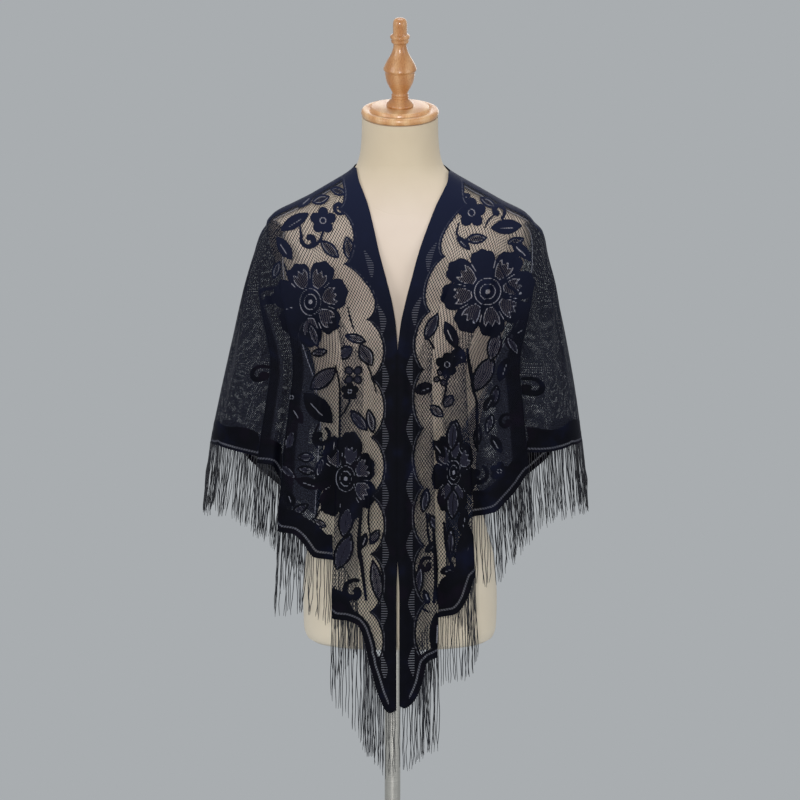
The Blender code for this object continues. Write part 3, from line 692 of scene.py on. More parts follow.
def smooth_bends(bends, parts=8):
    """A rounded line in metres through a few bends in millimetres."""
    at = np.arange(len(bends))
    fine = np.linspace(0, len(bends) - 1, (len(bends) - 1) * parts + 1)
    columns = [Curve(list(zip(at, column)))(fine) for column in np.array(bends, float).T]
    return 0.001 * np.stack(columns, axis=1)


def stem(u, v, width, bends):
    """A stem through its bends, thickest at its middle."""
    gap, along = to_line(u, v, smooth_bends(bends))
    return width * (0.5 - 0.2 * np.abs(2.0 * along - 1.0)) - gap, None, None


# %% Work motifs into the cloth
Motif = namedtuple("Motif", "kind x z size width turn count parts narrow", defaults=(0, (), 1.0))
SHAPES = {  # how each kind is drawn, and from which of a motif's values
    "flower": (flower, "size count turn parts narrow"),
    "blossom": (blossom, "size count turn"),
    "ring blossom": (ring_blossom, "size count turn"),
    "leaf": (leaf, "size width turn"),
    "sheer leaf": (sheer_leaf, "size width turn"),
    "scroll": (scroll, "size turn count"),
    "stem": (stem, "width parts"),
}
MOTIF_SPARE = 0.006  # points this far past a motif's own size are drawn too, for its edge
motifs_of = partial(in_metres, Motif, but=["kind", "turn", "count", "parts", "narrow"])


def work_motif(drawing, motif):
    """Works one motif with its middle at its place on the cloth, as seen from outside."""
    reach = motif.size * (0.6 if motif.kind.endswith("leaf") else 1.1) + MOTIF_SPARE
    if motif.kind == "stem":
        reach += np.abs(smooth_bends(motif.parts)).max()
    numbers, u, v = drawing.flat_from(drawing.seat_at(motif.x, motif.z), reach)
    draw, values = SHAPES[motif.kind]
    drawing.work(numbers, *draw(u, v, *(getattr(motif, value) for value in values.split())))

# %% [markdown]
# ## Where the motifs go
#
# The two fronts carry the show side: a big flower at the breast, another below it, small blossoms and leaves
# between them and tendrils that curl. A leaf or flower is placed by where its middle is seen on the draped
# cloth, with its own size and turn, and the cloth's folds then take it with them.

# %% The motifs of the two fronts
# Places and sizes in millimetres, turns in degrees. Size is a leaf's length and a flower's radius. Parts are
# the petals with a filling, counted round a flower, or the bends of a stem, right and up from its middle.
FRONT_MOTIFS = {
    "lace_front_left": [
        ("leaf", -106, 1094, 59.2, 29.6, -47), ("sheer leaf", -95, 1135, 49.3, 24, 40),
        ("leaf", -141, 1353, 47.9, 18.3, 32), ("leaf", -155, 1315, 39.5, 18.3, -55),
        ("sheer leaf", -104, 1383, 28.2, 14.1, 18), ("sheer leaf", -90, 1315, 36.7, 16.9, -42),
        ("sheer leaf", -63, 1315, 38.1, 18.3, -78),
        ("flower", -113, 1242, 62, 0, 14, 7, (0, 1, 2, 5, 6), 0.82), ("blossom", -100, 1355, 19, 0, 90, 5),
        ("scroll", -119, 1328, 12.7, 0, 150, 1), ("sheer leaf", -53, 1192, 32.4, 14.1, -15),
        ("sheer leaf", -69, 1170, 26.8, 18.3, 35), ("sheer leaf", -39, 1166, 35.3, 21.1, -60),
        ("ring blossom", -57, 1141, 15.5, 0, 45, 4), ("blossom", -60, 1117, 12.7, 0, 90, 5),
        ("sheer leaf", -48, 1078, 38.1, 16.9, -50), ("sheer leaf", -29, 1076, 36.7, 14.1, -78),
        ("flower", -66, 994, 62, 0, 75, 7, (0, 1, 5, 6), 0.74), ("scroll", -99, 1049, 14.1, 0, 60, -1),
        ("sheer leaf", -122, 1024, 25.4, 15.5, 0), ("sheer leaf", -123, 1006, 28.2, 14.1, -12),
        ("sheer leaf", -100, 1010, 33.8, 12.7, 72), ("leaf", -119, 987, 39.5, 16.9, -18),
        ("sheer leaf", -100, 930, 21.1, 11.3, -30), ("sheer leaf", -71, 891, 56.4, 25.4, 68),
        ("leaf", -43, 907, 26.8, 12.7, 70), ("sheer leaf", -26, 914, 26.8, 14.1, 60),
        ("sheer leaf", -24, 850, 64.9, 18.3, -80), ("scroll", -55, 836, 16.9, 0, 70, 1),
        ("scroll", -182, 1246, 14.1, 0, 70, 1), ("scroll", -190, 1137, 12.7, 0, 60, 1),
        ("stem", -120, 1317, 0, 5.1, 0, 0, ((-13, 28), (-11, 11), (0, 0), (13, 7), (21, 25))),
        ("stem", -76, 1076, 0, 3.4, 0, 0, ((-6, 76), (0, 42), (0, 0), (0, -59))),
        ("stem", -67, 1094, 0, 3.1, 0, 0, ((7, 17), (0, 0), (-10, -14))),
        ("stem", -60, 1219, 0, 2.8, 0, 0, ((6, -17), (0, 0), (-4, 17))),
        ("stem", -29, 1139, 0, 2.8, 0, 0, ((-8, 20), (0, 0), (6, -23))),
        ("stem", -44, 871, 0, 6.5, 0, 0, ((0, 86), (-4, 30), (0, 0), (6, -48))),
        ("stem", -32, 936, 0, 3.1, 0, 0, ((3, 28), (0, 0), (4, -35))),
        ("stem", -113, 1047, 0, 4.2, 0, 0, ((8, 21), (0, 0), (6, -14))),
        ("stem", -105, 940, 0, 3.4, 0, 0, ((11, 21), (0, 0), (-14, -10))),
        ("stem", -149, 1276, 0, 3.1, 0, 0, ((-6, 18), (0, 0), (4, -13))),
        ("sheer leaf", -66, 934, 45.1, 22.6, 80), ("leaf", -82, 1039, 33.8, 15.5, 80),
        ("sheer leaf", -113, 1194, 36.7, 15.5, -70), ("sheer leaf", -105, 1170, 25.4, 12.7, 10),
        ("leaf", -74, 819, 47.9, 25.4, -52), ("sheer leaf", -146, 1047, 36.7, 16.9, 75),
        ("leaf", -135, 1086, 33.8, 15.5, -60), ("sheer leaf", -150, 1004, 33.8, 15.5, -40),
        ("sheer leaf", -131, 950, 31, 14.1, 30), ("leaf", -144, 965, 25.4, 12.7, -70),
        ("sheer leaf", -105, 905, 22.6, 11.3, 20), ("blossom", -144, 1108, 12.7, 0, 20, 5),
        ("scroll", -147, 1024, 11.3, 0, 60, 1), ("scroll", -137, 920, 9.9, 0, 160, 1),
        ("sheer leaf", -167, 1285, 28.2, 12.7, 70), ("leaf", -126, 1382, 28.2, 12.7, 40),
        ("sheer leaf", -79, 1396, 25.4, 12.7, -15), ("scroll", -77, 1373, 9.9, 0, -40, -1),
    ],
    "lace_front_right": [
        ("blossom", 114, 1366, 21.1, 0, 90, 5), ("scroll", 152, 1367, 11.3, 0, -60, 1),
        ("leaf", 164, 1346, 46.5, 21.1, 3), ("sheer leaf", 121, 1330, 32.4, 15.5, 4),
        ("leaf", 103, 1322, 28.2, 11.3, -45), ("sheer leaf", 127, 1141, 59.2, 26.8, 62),
        ("sheer leaf", 142, 1180, 45.1, 21.1, 75),
        ("flower", 137, 1252, 64.9, 0, 8, 8, (0, 1, 3, 4, 5, 6, 7)),
        ("sheer leaf", 57, 1209, 42.3, 18.3, 63), ("leaf", 81, 1196, 42.3, 18.3, -65),
        ("blossom", 76, 1155, 16.9, 0, 90, 5), ("leaf", 47, 1123, 28.2, 16.9, 20),
        ("ring blossom", 67, 1135, 12.7, 0, 20, 4), ("sheer leaf", 61, 1090, 25.4, 15.5, -42),
        ("sheer leaf", 77, 1104, 22.6, 15.5, 55), ("leaf", 98, 1170, 28.2, 12.7, -60),
        ("sheer leaf", 91, 1059, 39.5, 15.5, 85),
        ("flower", 85, 1000, 59.2, 0, 85, 7, (0, 1, 3, 4, 6), 0.56),
        ("sheer leaf", 118, 1049, 36.7, 12.7, 84), ("scroll", 119, 998, 14.8, 0, 60, -1),
        ("sheer leaf", 48, 965, 36.7, 14.1, 80), ("scroll", 50, 871, 11.3, 0, 60, 1),
        ("leaf", 77, 860, 24, 12.7, 25), ("sheer leaf", 38, 848, 53.6, 15.5, 80),
        ("sheer leaf", 80, 903, 47.9, 14.1, 88), ("scroll", 192, 1225, 14.1, 0, 120, -1),
        ("scroll", 199, 1117, 14.1, 0, 110, -1),
        ("stem", 59, 1182, 0, 3.1, 0, 0, ((-8, 14), (0, 0), (8, -13))),
        ("stem", 110, 1137, 0, 5.9, 0, 0, ((-6, 38), (-3, 18), (0, 0), (4, -21))),
        ("stem", 73, 1119, 0, 3.1, 0, 0, ((3, 23), (0, 0), (-6, -20))),
        ("stem", 93, 1172, 0, 3.7, 0, 0, ((-8, 14), (0, 0), (-1, -20))),
        ("stem", 139, 1356, 0, 3.4, 0, 0, ((-6, -11), (0, 0), (10, 8))),
        ("stem", 93, 1338, 0, 3.4, 0, 0, ((3, 14), (0, 0), (11, -11))),
        ("stem", 117, 1067, 0, 4.8, 0, 0, ((-8, 56), (0, 28), (0, 0), (1, -38))),
        ("stem", 53, 914, 0, 3.4, 0, 0, ((-3, 32), (0, 0), (8, -24))),
        ("stem", 76, 897, 0, 5.6, 0, 0, ((-4, 35), (0, 0), (8, -30))),
        ("stem", 44, 813, 0, 3.1, 0, 0, ((-6, 14), (0, 0), (11, -8))),
        ("stem", 180, 1225, 0, 2.5, 0, 0, ((0, 73), (8, 38), (0, 0), (-17, -32))),
        ("sheer leaf", 85, 1055, 45.1, 18.3, 86), ("sheer leaf", 84, 955, 45.1, 21.1, 88),
        ("leaf", 65, 1037, 31, 14.1, -55), ("sheer leaf", 62, 932, 31, 14.1, -60),
        ("leaf", 57, 899, 25.4, 11.3, 40), ("leaf", 99, 934, 36.7, 15.5, 80),
        ("leaf", 50, 827, 22.6, 9.9, 110), ("leaf", 158, 1147, 36.7, 16.9, 70),
        ("sheer leaf", 147, 1110, 33.8, 15.5, 80), ("leaf", 133, 1100, 28.2, 12.7, 60),
        ("sheer leaf", 135, 1067, 31, 14.1, 75), ("leaf", 149, 1039, 31, 14.1, -60),
        ("sheer leaf", 132, 969, 31, 14.1, -20), ("sheer leaf", 172, 1180, 31, 14.1, -70),
        ("leaf", 182, 1201, 22.6, 11.3, 30), ("leaf", 187, 1311, 33.8, 14.1, -70),
        ("sheer leaf", 177, 1326, 22.6, 11.3, 20), ("sheer leaf", 138, 1380, 28.2, 12.7, -30),
        ("leaf", 103, 1387, 22.6, 11.3, 20), ("blossom", 153, 1004, 14.1, 0, 10, 5),
        ("scroll", 162, 1073, 11.3, 0, 60, 1), ("scroll", 140, 946, 11.3, 0, 160, 1),
        ("scroll", 93, 1166, 11.3, 0, -20, -1), ("leaf", 63, 770, 62, 18.3, 88),
        ("leaf", 79, 836, 59.2, 31, 55), ("leaf", 105, 883, 93.1, 29.6, 86),
        ("stem", 64, 850, 0, 6.2, 0, 0, ((-4, 70), (-1, 31), (0, 0), (-3, -34))),
    ],
}

# %% [markdown]
# The back repeats the same kinds of flower: one big one under the nape, a second lower down, and sprays of
# leaves to either side as mirror images, since the cloth is knitted as one symmetrical triangle.

# %% The motifs of the back
BACK_MIDDLE = [
    ("flower", 0, 1338, 58, 0, 90, 8, (0, 1, 3, 4, 5, 7)), ("sheer leaf", 0, 1257, 45, 18, 90),
    ("blossom", 0, 1214, 14.5, 0, 90, 5), ("ring blossom", 0, 1184, 16.5, 0, 45, 4),
    ("leaf", 0, 1146, 40, 16, 90), ("flower", 0, 1040, 52, 0, 90, 7, (0, 2, 3, 4, 5)),
    ("stem", 0, 1105, 0, 4, 0, 0, ((0, 20), (1, 0), (0, -20))), ("sheer leaf", 0, 958, 46, 18, 90),
    ("blossom", 0, 912, 15, 0, 90, 5), ("leaf", 0, 872, 36, 15, 90),
]
BACK_SIDE = [  # on one side of the middle; the other side is its mirror image
    ("sheer leaf", 73, 1373, 42, 18, 25), ("leaf", 94, 1336, 38, 16, -40),
    ("sheer leaf", 70, 1296, 40, 17, -25), ("blossom", 122, 1352, 16, 0, 20, 5),
    ("leaf", 150, 1334, 34, 14, -30), ("sheer leaf", 43, 1258, 40, 17, 35), ("leaf", 64, 1222, 38, 16, 10),
    ("scroll", 33, 1226, 11, 0, 60, 1), ("flower", 122, 1248, 43, 0, 60, 7, (0, 1, 3, 4, 6)),
    ("sheer leaf", 168, 1292, 36, 15, 60), ("sheer leaf", 162, 1204, 36, 15, -50),
    ("stem", 85, 1190, 0, 3.6, 0, 0, ((24, 16), (6, 2), (-12, -22), (-20, -48))),
    ("sheer leaf", 31, 1166, 35, 14, 55), ("leaf", 38, 1118, 36, 15, 35),
    ("sheer leaf", 103, 1158, 36, 15, 65), ("scroll", 74, 1098, 13, 0, -60, -1),
    ("blossom", 112, 1108, 14, 0, 0, 5), ("leaf", 142, 1126, 34, 14, -60),
    ("sheer leaf", 78, 1046, 40, 17, 62), ("leaf", 106, 1060, 34, 14, -40),
    ("sheer leaf", 66, 984, 40, 16, -50), ("leaf", 40, 944, 34, 14, 30),
    ("ring blossom", 100, 1004, 15, 0, 20, 4), ("scroll", 40, 900, 11, 0, 100, 1),
    ("leaf", 190, 1160, 34, 14, 70), ("scroll", 176, 1110, 12, 0, 60, 1),
]
HEM_SPRAY_PITCH = 0.0420
HEM_SPRAY_RISE = 0.0560  # above the hem


def mirrored(motif):
    """The same motif on the other side of the middle."""
    bends = tuple((-right, up) for right, up in motif.parts) if motif.kind == "stem" else motif.parts
    hand = -motif.count if motif.kind == "scroll" else motif.count
    return motif._replace(x=-motif.x, turn=180 - motif.turn, count=hand, parts=bends)


def hem_sprays(place):
    """Pairs of leaves along the hem of the back, as far out as the hem rises steadily."""
    sprays = []
    for k in (-5, -4, -3, -2, -1, 1, 2, 3, 4, 5):
        x = k * HEM_SPRAY_PITCH - math.copysign(0.5 * HEM_SPRAY_PITCH, k)
        rise = place[np.abs(place[:, 0] - x) < 0.004, 2].min() + HEM_SPRAY_RISE
        lean = 55 if k > 0 else 125
        long_kind, short_kind = ("sheer leaf", "leaf") if k % 2 == 0 else ("leaf", "sheer leaf")
        sprays.append(Motif(long_kind, x, rise, 0.0320, 0.0140, lean))
        sprays.append(Motif(short_kind, x + 0.014, rise + 0.004, 0.0220, 0.0100, lean - 50))
    return sprays


# %% [markdown]
# ## Bands, scallops and grounds
#
# A solid band runs along the long edge, all the way up one front, round the neck and down the other. Its
# inner side is a row of scallops where the net bulges into it, with a fine openwork line along them and a
# small fan of ladder stitches behind each point. A second band runs along the hem. The ground is open net
# near the long edge and dense further out, on the sleeves and the back.

# %% Sizes of bands and grounds
SCALLOP_PITCH = 0.0827
SCALLOP_SHIFT = {"lace_front_left": 0.0015, "lace_front_right": -0.0080, "lace_back": 0.0}
SHIFT_FROM, SHIFT_BY = 0.08, 0.25  # the shift comes in between these places from the nape
BAND = {  # the band's width at its narrowest, by the place along the edge from the middle of the nape
    "lace_front_left": Curve([(0.00, 0.0265), (0.12, 0.0290), (0.21, 0.0275), (0.285, 0.0360),
                              (0.36, 0.0215), (0.45, 0.0205), (1.00, 0.0200)]),
    "lace_front_right": Curve([(0.00, 0.0265), (0.115, 0.0285), (0.20, 0.0325), (0.278, 0.0245),
                               (0.36, 0.0245), (1.00, 0.0235)]),
    "lace_back": Curve([(0.00, 0.0265), (0.12, 0.0285)]),
}
SCALLOP_DEPTH = {"lace_front_left": 0.0205, "lace_front_right": 0.0165, "lace_back": 0.0190}
BAND_LINE = 0.0034  # the openwork line lies this far inside the band
FAN_LONG, FAN_WIDE = 0.0250, 0.0092
FANS_BELOW = 1.338
FAN_BASE = 0.0215  # how far from the edge a fan's straight side lies
HEM_BAND = Curve([(0.000, 0.0150), (0.045, 0.0150), (0.080, 0.0240), (0.110, 0.0300)])  # narrow at the tip
HEM_BAND_SCALLOP = 0.0060
SCALLOPED_FROM, SCALLOPED_BY = 0.06, 0.12  # the hem band's own scallops come in between these, from the tip
HEM_BAND_LESS = 0.0320  # narrower where another layer hangs before it, so that the net before it stays light
HEM_LINE = Curve([(0.00, 0.0095), (0.30, 0.0088), (0.42, 0.0052), (1.00, 0.0046)])  # near the sleeves' edge
LINE_SPARE = 0.0006  # the band's own line is this much finer than the hem's
OPEN_BY_NECK = 0.1450  # the open net reaches this far down from the neck edge
GROUND_LINE = 0.0020  # and the dense ground starts with an openwork line this far past it
CREST_STRIP = 0.0130  # the open net stops this far below the crest of the shoulder
SOLID_CREST = 0.0070  # the crest itself is worked solid this far down
SOLID_CREST_FROM = 0.06  # further out than this
CREST_FROM, CREST_BIN, CREST_BINS = 0.040, 0.004, 61  # the crest is looked up in bins this wide from here out
LAYER_CELL = 0.0030  # layers of cloth are told apart in cells of this size
LAYER_GAP = 0.0060  # where one hangs this far before another
PaintedFoldShade = namedtuple("PaintedFoldShade", "hem wide")
PAINTED_FOLD_SHADE = {  # folds along whose edges the cloth is painted nearly solid, a painted shade where its layers lie doubled: outer edge and width
    "lace_front_left": [PaintedFoldShade(0.3925, 0.022), PaintedFoldShade(0.5447, 0.018)],
    "lace_front_right": [PaintedFoldShade(0.4947, 0.036)],
}
FOLD_SHADE_FROM, FOLD_SHADE_FULL = 1.295, 1.200
FOLD_SHADE_PAST = 0.004  # the painted fold shade reaches this far past the fold's edge too
OPEN_TO = {  # in front the open net reaches out to these places, by the hem's length, at each height
    "lace_front_left": Curve([(0.60, 0.32), (1.07, 0.32), (1.17, 0.362), (1.30, 0.373), (1.36, 0.414)]),
    "lace_front_right": Curve([(0.60, 0.22), (0.96, 0.26), (1.07, 0.38), (1.15, 0.428), (1.36, 0.485)]),
}
POINTS_AT_ONCE = 4000


# %% Work the bands and grounds
def along_edge(name):
    """Lengths along the long edge from the middle of the nape, and distances from that edge."""
    lengths, back_lengths = measures[name], measures["lace_back"]
    if name == "lace_back":
        return np.abs(lengths.across[:, :1]) + 0.0 * lengths.across, lengths.from_neck
    nape = abs(back_lengths.across[-1 if name.endswith("right") else 0, 0])
    round_neck = lengths.across[-1, 0]
    by_front = nape + round_neck + lengths.from_neck[:1, :] + 0.0 * lengths.across
    by_neck = nape + round_neck - lengths.across[:, :1] + 0.0 * lengths.across
    run = np.where(lengths.across < lengths.from_neck, by_front, by_neck)
    return run, np.minimum(lengths.across, lengths.from_neck)


def hem_distance(name):
    """The distance from the hem, square to it, at each point of the cloth laid flat."""
    lengths, last = measures[name], cloths[name].last
    rows = np.arange(len(last))
    hem = np.stack([lengths.across[rows, last], lengths.down[rows, last]], axis=1)
    used = points_used[name]
    place = np.stack([lengths.across[used], lengths.down[used]], axis=1)
    found = np.minimum(lengths.from_hem[used], FAR)
    near = np.nonzero(lengths.from_hem[used] < 4.0 * FAR)[0]
    for start in range(0, len(near), POINTS_AT_ONCE):
        part = near[start:start + POINTS_AT_ONCE]
        gap, _ = to_line(place[part, 0], place[part, 1], hem[::3])
        found[part] = np.minimum(gap, found[part])
    return found


# %% Where the net opens
def below_crest(place):
    """How far each point lies below the highest cloth as far out as it is."""
    out = np.abs(place[:, 0])
    bins = np.clip(((out - CREST_FROM) / CREST_BIN).astype(int), 0, CREST_BINS - 1)
    crest = np.full(CREST_BINS, -9.0)  # where there is no cloth
    np.maximum.at(crest, bins, place[:, 2])
    crest = np.maximum.accumulate(crest[::-1])[::-1]
    return np.interp(out, CREST_FROM + CREST_BIN * (0.5 + np.arange(CREST_BINS)), crest) - place[:, 2]


def work_ground(drawing, name):
    """How far each point lies inside the open net."""
    lengths, cloth = measures[name], cloths[name]
    field = OPEN_BY_NECK - lengths.from_neck
    if name in OPEN_TO:
        limit = OPEN_TO[name](cloth.points[:, :, 2])
        reach_to = np.array([np.interp(limit[:, j].mean(), cloth.s, lengths.across[:, j])
                             for j in range(cloth.points.shape[1])])
        field = np.maximum(field, reach_to[None, :] - lengths.across)
    crest = below_crest(drawing.place)
    drawing.open_ground = np.minimum(field[drawing.used], crest - CREST_STRIP)
    drawing.line = np.minimum(drawing.line, np.abs(drawing.open_ground + GROUND_LINE))
    drawing.doubled = np.full(len(drawing.place), -FAR)
    if name in OPEN_TO:
        far_out = np.abs(drawing.place[:, 0]) > SOLID_CREST_FROM
        drawing.solid = np.maximum(drawing.solid, np.where(far_out, SOLID_CREST - crest, -FAR))
        s = np.broadcast_to(cloth.s[:, None], drawing.used.shape)[drawing.used]
        z = drawing.place[:, 2]
        # Along these folds the cloth is painted nearly solid and dark, as the fold's painted shade where its
        # layers lie doubled.
        for row in PAINTED_FOLD_SHADE[name]:
            inner = row.hem - row.wide * smoothstep(FOLD_SHADE_FROM, FOLD_SHADE_FULL, z)
            inside = least(s - inner, row.hem + FOLD_SHADE_PAST - s, FOLD_SHADE_FROM - z)
            drawing.doubled = np.maximum(drawing.doubled, inside)


def under_fold(place):
    """1 where another layer of the sheet hangs before it, as seen from the front or back, and 0 elsewhere."""
    cell = np.floor(place[:, [0, 2]] / LAYER_CELL).astype(int)
    cell -= cell.min(axis=0)
    number = cell[:, 0] * (cell[:, 1].max() + 1) + cell[:, 1]
    depth = np.abs(place[:, 1])
    outermost = np.zeros(number.max() + 1)
    np.maximum.at(outermost, number, depth)
    return (depth < outermost[number] - LAYER_GAP).astype(float)


# %% The scalloped band and the hem's
def work_bands(drawing, name):
    """The scalloped band along the long edge with its line and fans, and the band of the hem."""
    run, from_edge = (field[drawing.used] for field in along_edge(name))
    shift = SCALLOP_SHIFT[name] * smoothstep(SHIFT_FROM, SHIFT_BY, run)
    place = (run - shift) / SCALLOP_PITCH + 0.5
    beside = (place + 0.5) % 1.0 - 0.5  # 0 at a point between two scallops, half way to the next at 0.5
    bulge = np.sqrt(1.0 - (2.0 * np.abs(beside) - 1.0) ** 2)
    narrow = BAND[name](run)
    wide = narrow + SCALLOP_DEPTH[name] * (1.0 - bulge ** 1.3)
    across = np.abs(drawing.lengths.across)
    hem = hem_distance(name)
    hem_bulge = 0.5 + 0.5 * np.cos(2.0 * math.pi * across / HEM_PITCH)
    if name != "lace_back":
        hem_bulge *= smoothstep(SCALLOPED_FROM, SCALLOPED_BY, across)
    hem_band = HEM_BAND(across) - hem + HEM_BAND_SCALLOP * hem_bulge - HEM_BAND_LESS * drawing.under
    beside_scallops = np.where(hem_band > -0.001, FAR, np.abs(wide - BAND_LINE - from_edge))
    drawing.work(np.arange(len(run)), np.maximum(wide - from_edge, hem_band))
    hem_line = np.where(from_edge > 0.5 * narrow, np.abs(hem - HEM_LINE(across)), FAR)
    drawing.hem_line = np.minimum(hem_line, beside_scallops + LINE_SPARE)
    along = np.abs(beside) * SCALLOP_PITCH
    point = FAN_BASE - FAN_WIDE * (1.0 - np.minimum(along / FAN_LONG, 1.0) ** 1.5)
    drawing.fan = least(from_edge - point, FAN_BASE - from_edge, FAN_LONG - along, -hem_band,
                        FANS_BELOW - drawing.place[:, 2])
    drawing.edge_run = run


# %% Draw all three stretches
drawings = {}
for name in cloths:
    drawing = drawings[name] = Drawing(name)
    drawing.under = under_fold(drawing.place)
    work_ground(drawing, name)
    if name == "lace_back":
        beside = motifs_of(BACK_SIDE)
        motifs = motifs_of(BACK_MIDDLE) + beside + [mirrored(motif) for motif in beside]
        motifs += hem_sprays(drawing.place)
    else:
        motifs = motifs_of(FRONT_MOTIFS[name])
    for motif in motifs:
        work_motif(drawing, motif)
    work_bands(drawing, name)
    print(name, "clothwork on %.0f %% of the points" % (100.0 * np.mean(drawing.solid > 0.0)))


# %% Store the drawing on the sheets
RELIEF = 0.00025  # clothwork stands this proud of the net
RELIEF_EDGE = 0.001


def store(name, drawing):
    """Writes the distances as attributes in millimetres and the places on the flat cloth as a UV map."""
    mesh = sheets[name].data
    fields = {"clothwork": drawing.solid, "filling": drawing.sheer, "openwork": drawing.line,
              "hem_openwork": drawing.hem_line, "open_ground": drawing.open_ground, "fan": drawing.fan,
              "edge_run": drawing.edge_run, "doubled": drawing.doubled, "under_fold": drawing.under}
    for label, values in fields.items():
        attribute = mesh.attributes.new(label, "FLOAT", "POINT")
        attribute.data.foreach_set("value", (1000.0 * values).astype(np.float32))
    corner = np.empty(len(mesh.loops), dtype=np.int32)
    mesh.loops.foreach_get("vertex_index", corner)
    flat = np.stack([drawing.lengths.across, -drawing.lengths.down], axis=1)[corner]
    layer = mesh.uv_layers.new(name="flat_cloth")
    layer.uv.foreach_set("vector", flat.astype(np.float32).ravel())
    raised = RELIEF * smoothstep(-RELIEF_EDGE, RELIEF_EDGE, np.minimum(drawing.solid, -drawing.sheer))
    place = drawing.place + drawing.normal * raised[:, None]
    mesh.vertices.foreach_set("co", place.astype(np.float32).ravel())
    mesh.update()


for name, drawing in drawings.items():
    store(name, drawing)

# %% [markdown]
# ## The fringe
#
# The fringe is sewn to the two short edges: soft yarns a few millimetres apart, each knotted in at the edge
# and about 95 mm long. Yarn hangs by its own weight but never quite straight: it sways, leans with the cloth
# and gathers in loose clumps, and the ends are cut unevenly. Each yarn is a thin tube of its own, thick at
# its knot. They are made as one mesh for each stretch of the hem, since hundreds of objects would be slow.

# %% Sizes of the fringe
YARN_PITCH = 0.0036
ROOT_JITTER = 0.3  # how far a yarn's root strays, as a share of that
STEEP_SHARE = 0.85  # a steep hem carries this share of the yarns that a level one does
YARN_LENGTH = 0.096
LENGTH_SPREAD = 0.05
LENGTH_AT = {  # how much longer or shorter the yarns are by their place along the hem: longest by the tips
    "left": Curve([(0.00, 0.94), (0.04, 1.04), (0.08, 1.30), (0.12, 1.62), (0.15, 1.55), (0.18, 1.22),
                   (0.21, 1.00), (0.30, 0.96), (0.32, 0.84), (0.34, 0.96), (0.36, 1.13), (0.38, 1.22),
                   (0.41, 1.00), (0.50, 1.00), (0.55, 1.10), (0.60, 1.06), (0.64, 1.00), (0.70, 1.05),
                   (0.80, 1.00), (1.20, 1.00)]),
    "right": Curve([(0.00, 0.94), (0.04, 1.02), (0.08, 1.30), (0.11, 1.42), (0.14, 1.08), (0.19, 1.00),
                    (0.22, 1.07), (0.26, 1.26), (0.29, 1.00), (0.38, 1.00), (0.42, 1.06), (0.45, 0.96),
                    (0.48, 0.97), (0.52, 1.00), (0.60, 1.00), (0.70, 1.04), (0.80, 1.00), (1.20, 1.00)]),
}
YARN_RADIUS = 0.00056
KNOT_RADIUS = 0.0012
TIED_RADIUS = 0.0007  # just above and below the knot
YARN_SIDES = 5
YARN_RINGS = 15
FLARE = 0.75  # how much of the cloth's own slant the yarns keep
CLUMP = 3.0  # about how many yarns hang together
PULLED_BY = (0.1, 0.8)  # how far a clump's ends draw together, at least and at most
PULL_MOST = 0.0045
Sway = namedtuple("Sway", "waves size")
SWAYS = (Sway(1.0, 0.0016), Sway(2.3, 0.0008), Sway(4.1, 0.00035))  # waves down a yarn, and how wide
Knot = namedtuple("Knot", "share radius")
YARN_PROFILE = Curve([
    Knot(0.000, TIED_RADIUS),
    Knot(0.014, KNOT_RADIUS),
    Knot(0.034, TIED_RADIUS),
    Knot(0.070, YARN_RADIUS),
    Knot(0.900, YARN_RADIUS * 0.9),
    Knot(1.000, YARN_RADIUS * 0.45),
])
HEM_SAMPLES = 4000
SLANT_FROM = 0.004  # the cloth's slant at the hem is measured from this far above it


# %% Where the yarns hang
def hem_line(side, start, end):
    """Close points along the hem: place, the way the cloth slants there, and the way along the hem."""
    s = np.linspace(start, end, HEM_SAMPLES)
    z = hem_height(side, s)
    place = cloth_point(side, HEMS[side], s, z)
    slant = place - cloth_point(side, HEMS[side], s, z + SLANT_FROM)
    along = np.gradient(place, axis=0)
    along[:, 2] = 0.0
    along /= np.linalg.norm(along, axis=1)[:, None]
    return place, slant / np.linalg.norm(slant, axis=1)[:, None], along


def yarn_roots(side, start, end, chance):
    """Evenly hung roots, with a little jitter, as rows of hem_line."""
    place, slant, along = hem_line(side, start, end)
    steps = np.diff(place, axis=0)
    level = np.hypot(steps[:, 0], steps[:, 1])
    run = run_of(level + STEEP_SHARE * (np.linalg.norm(steps, axis=1) - level))
    count = int(run[-1] / YARN_PITCH)
    jitter = chance.uniform(-ROOT_JITTER, ROOT_JITTER, count)
    row = np.searchsorted(run, (np.arange(count) + 0.5 + jitter) / count * run[-1])
    return place[row], slant[row], along[row], start + (end - start) * row / (len(place) - 1)


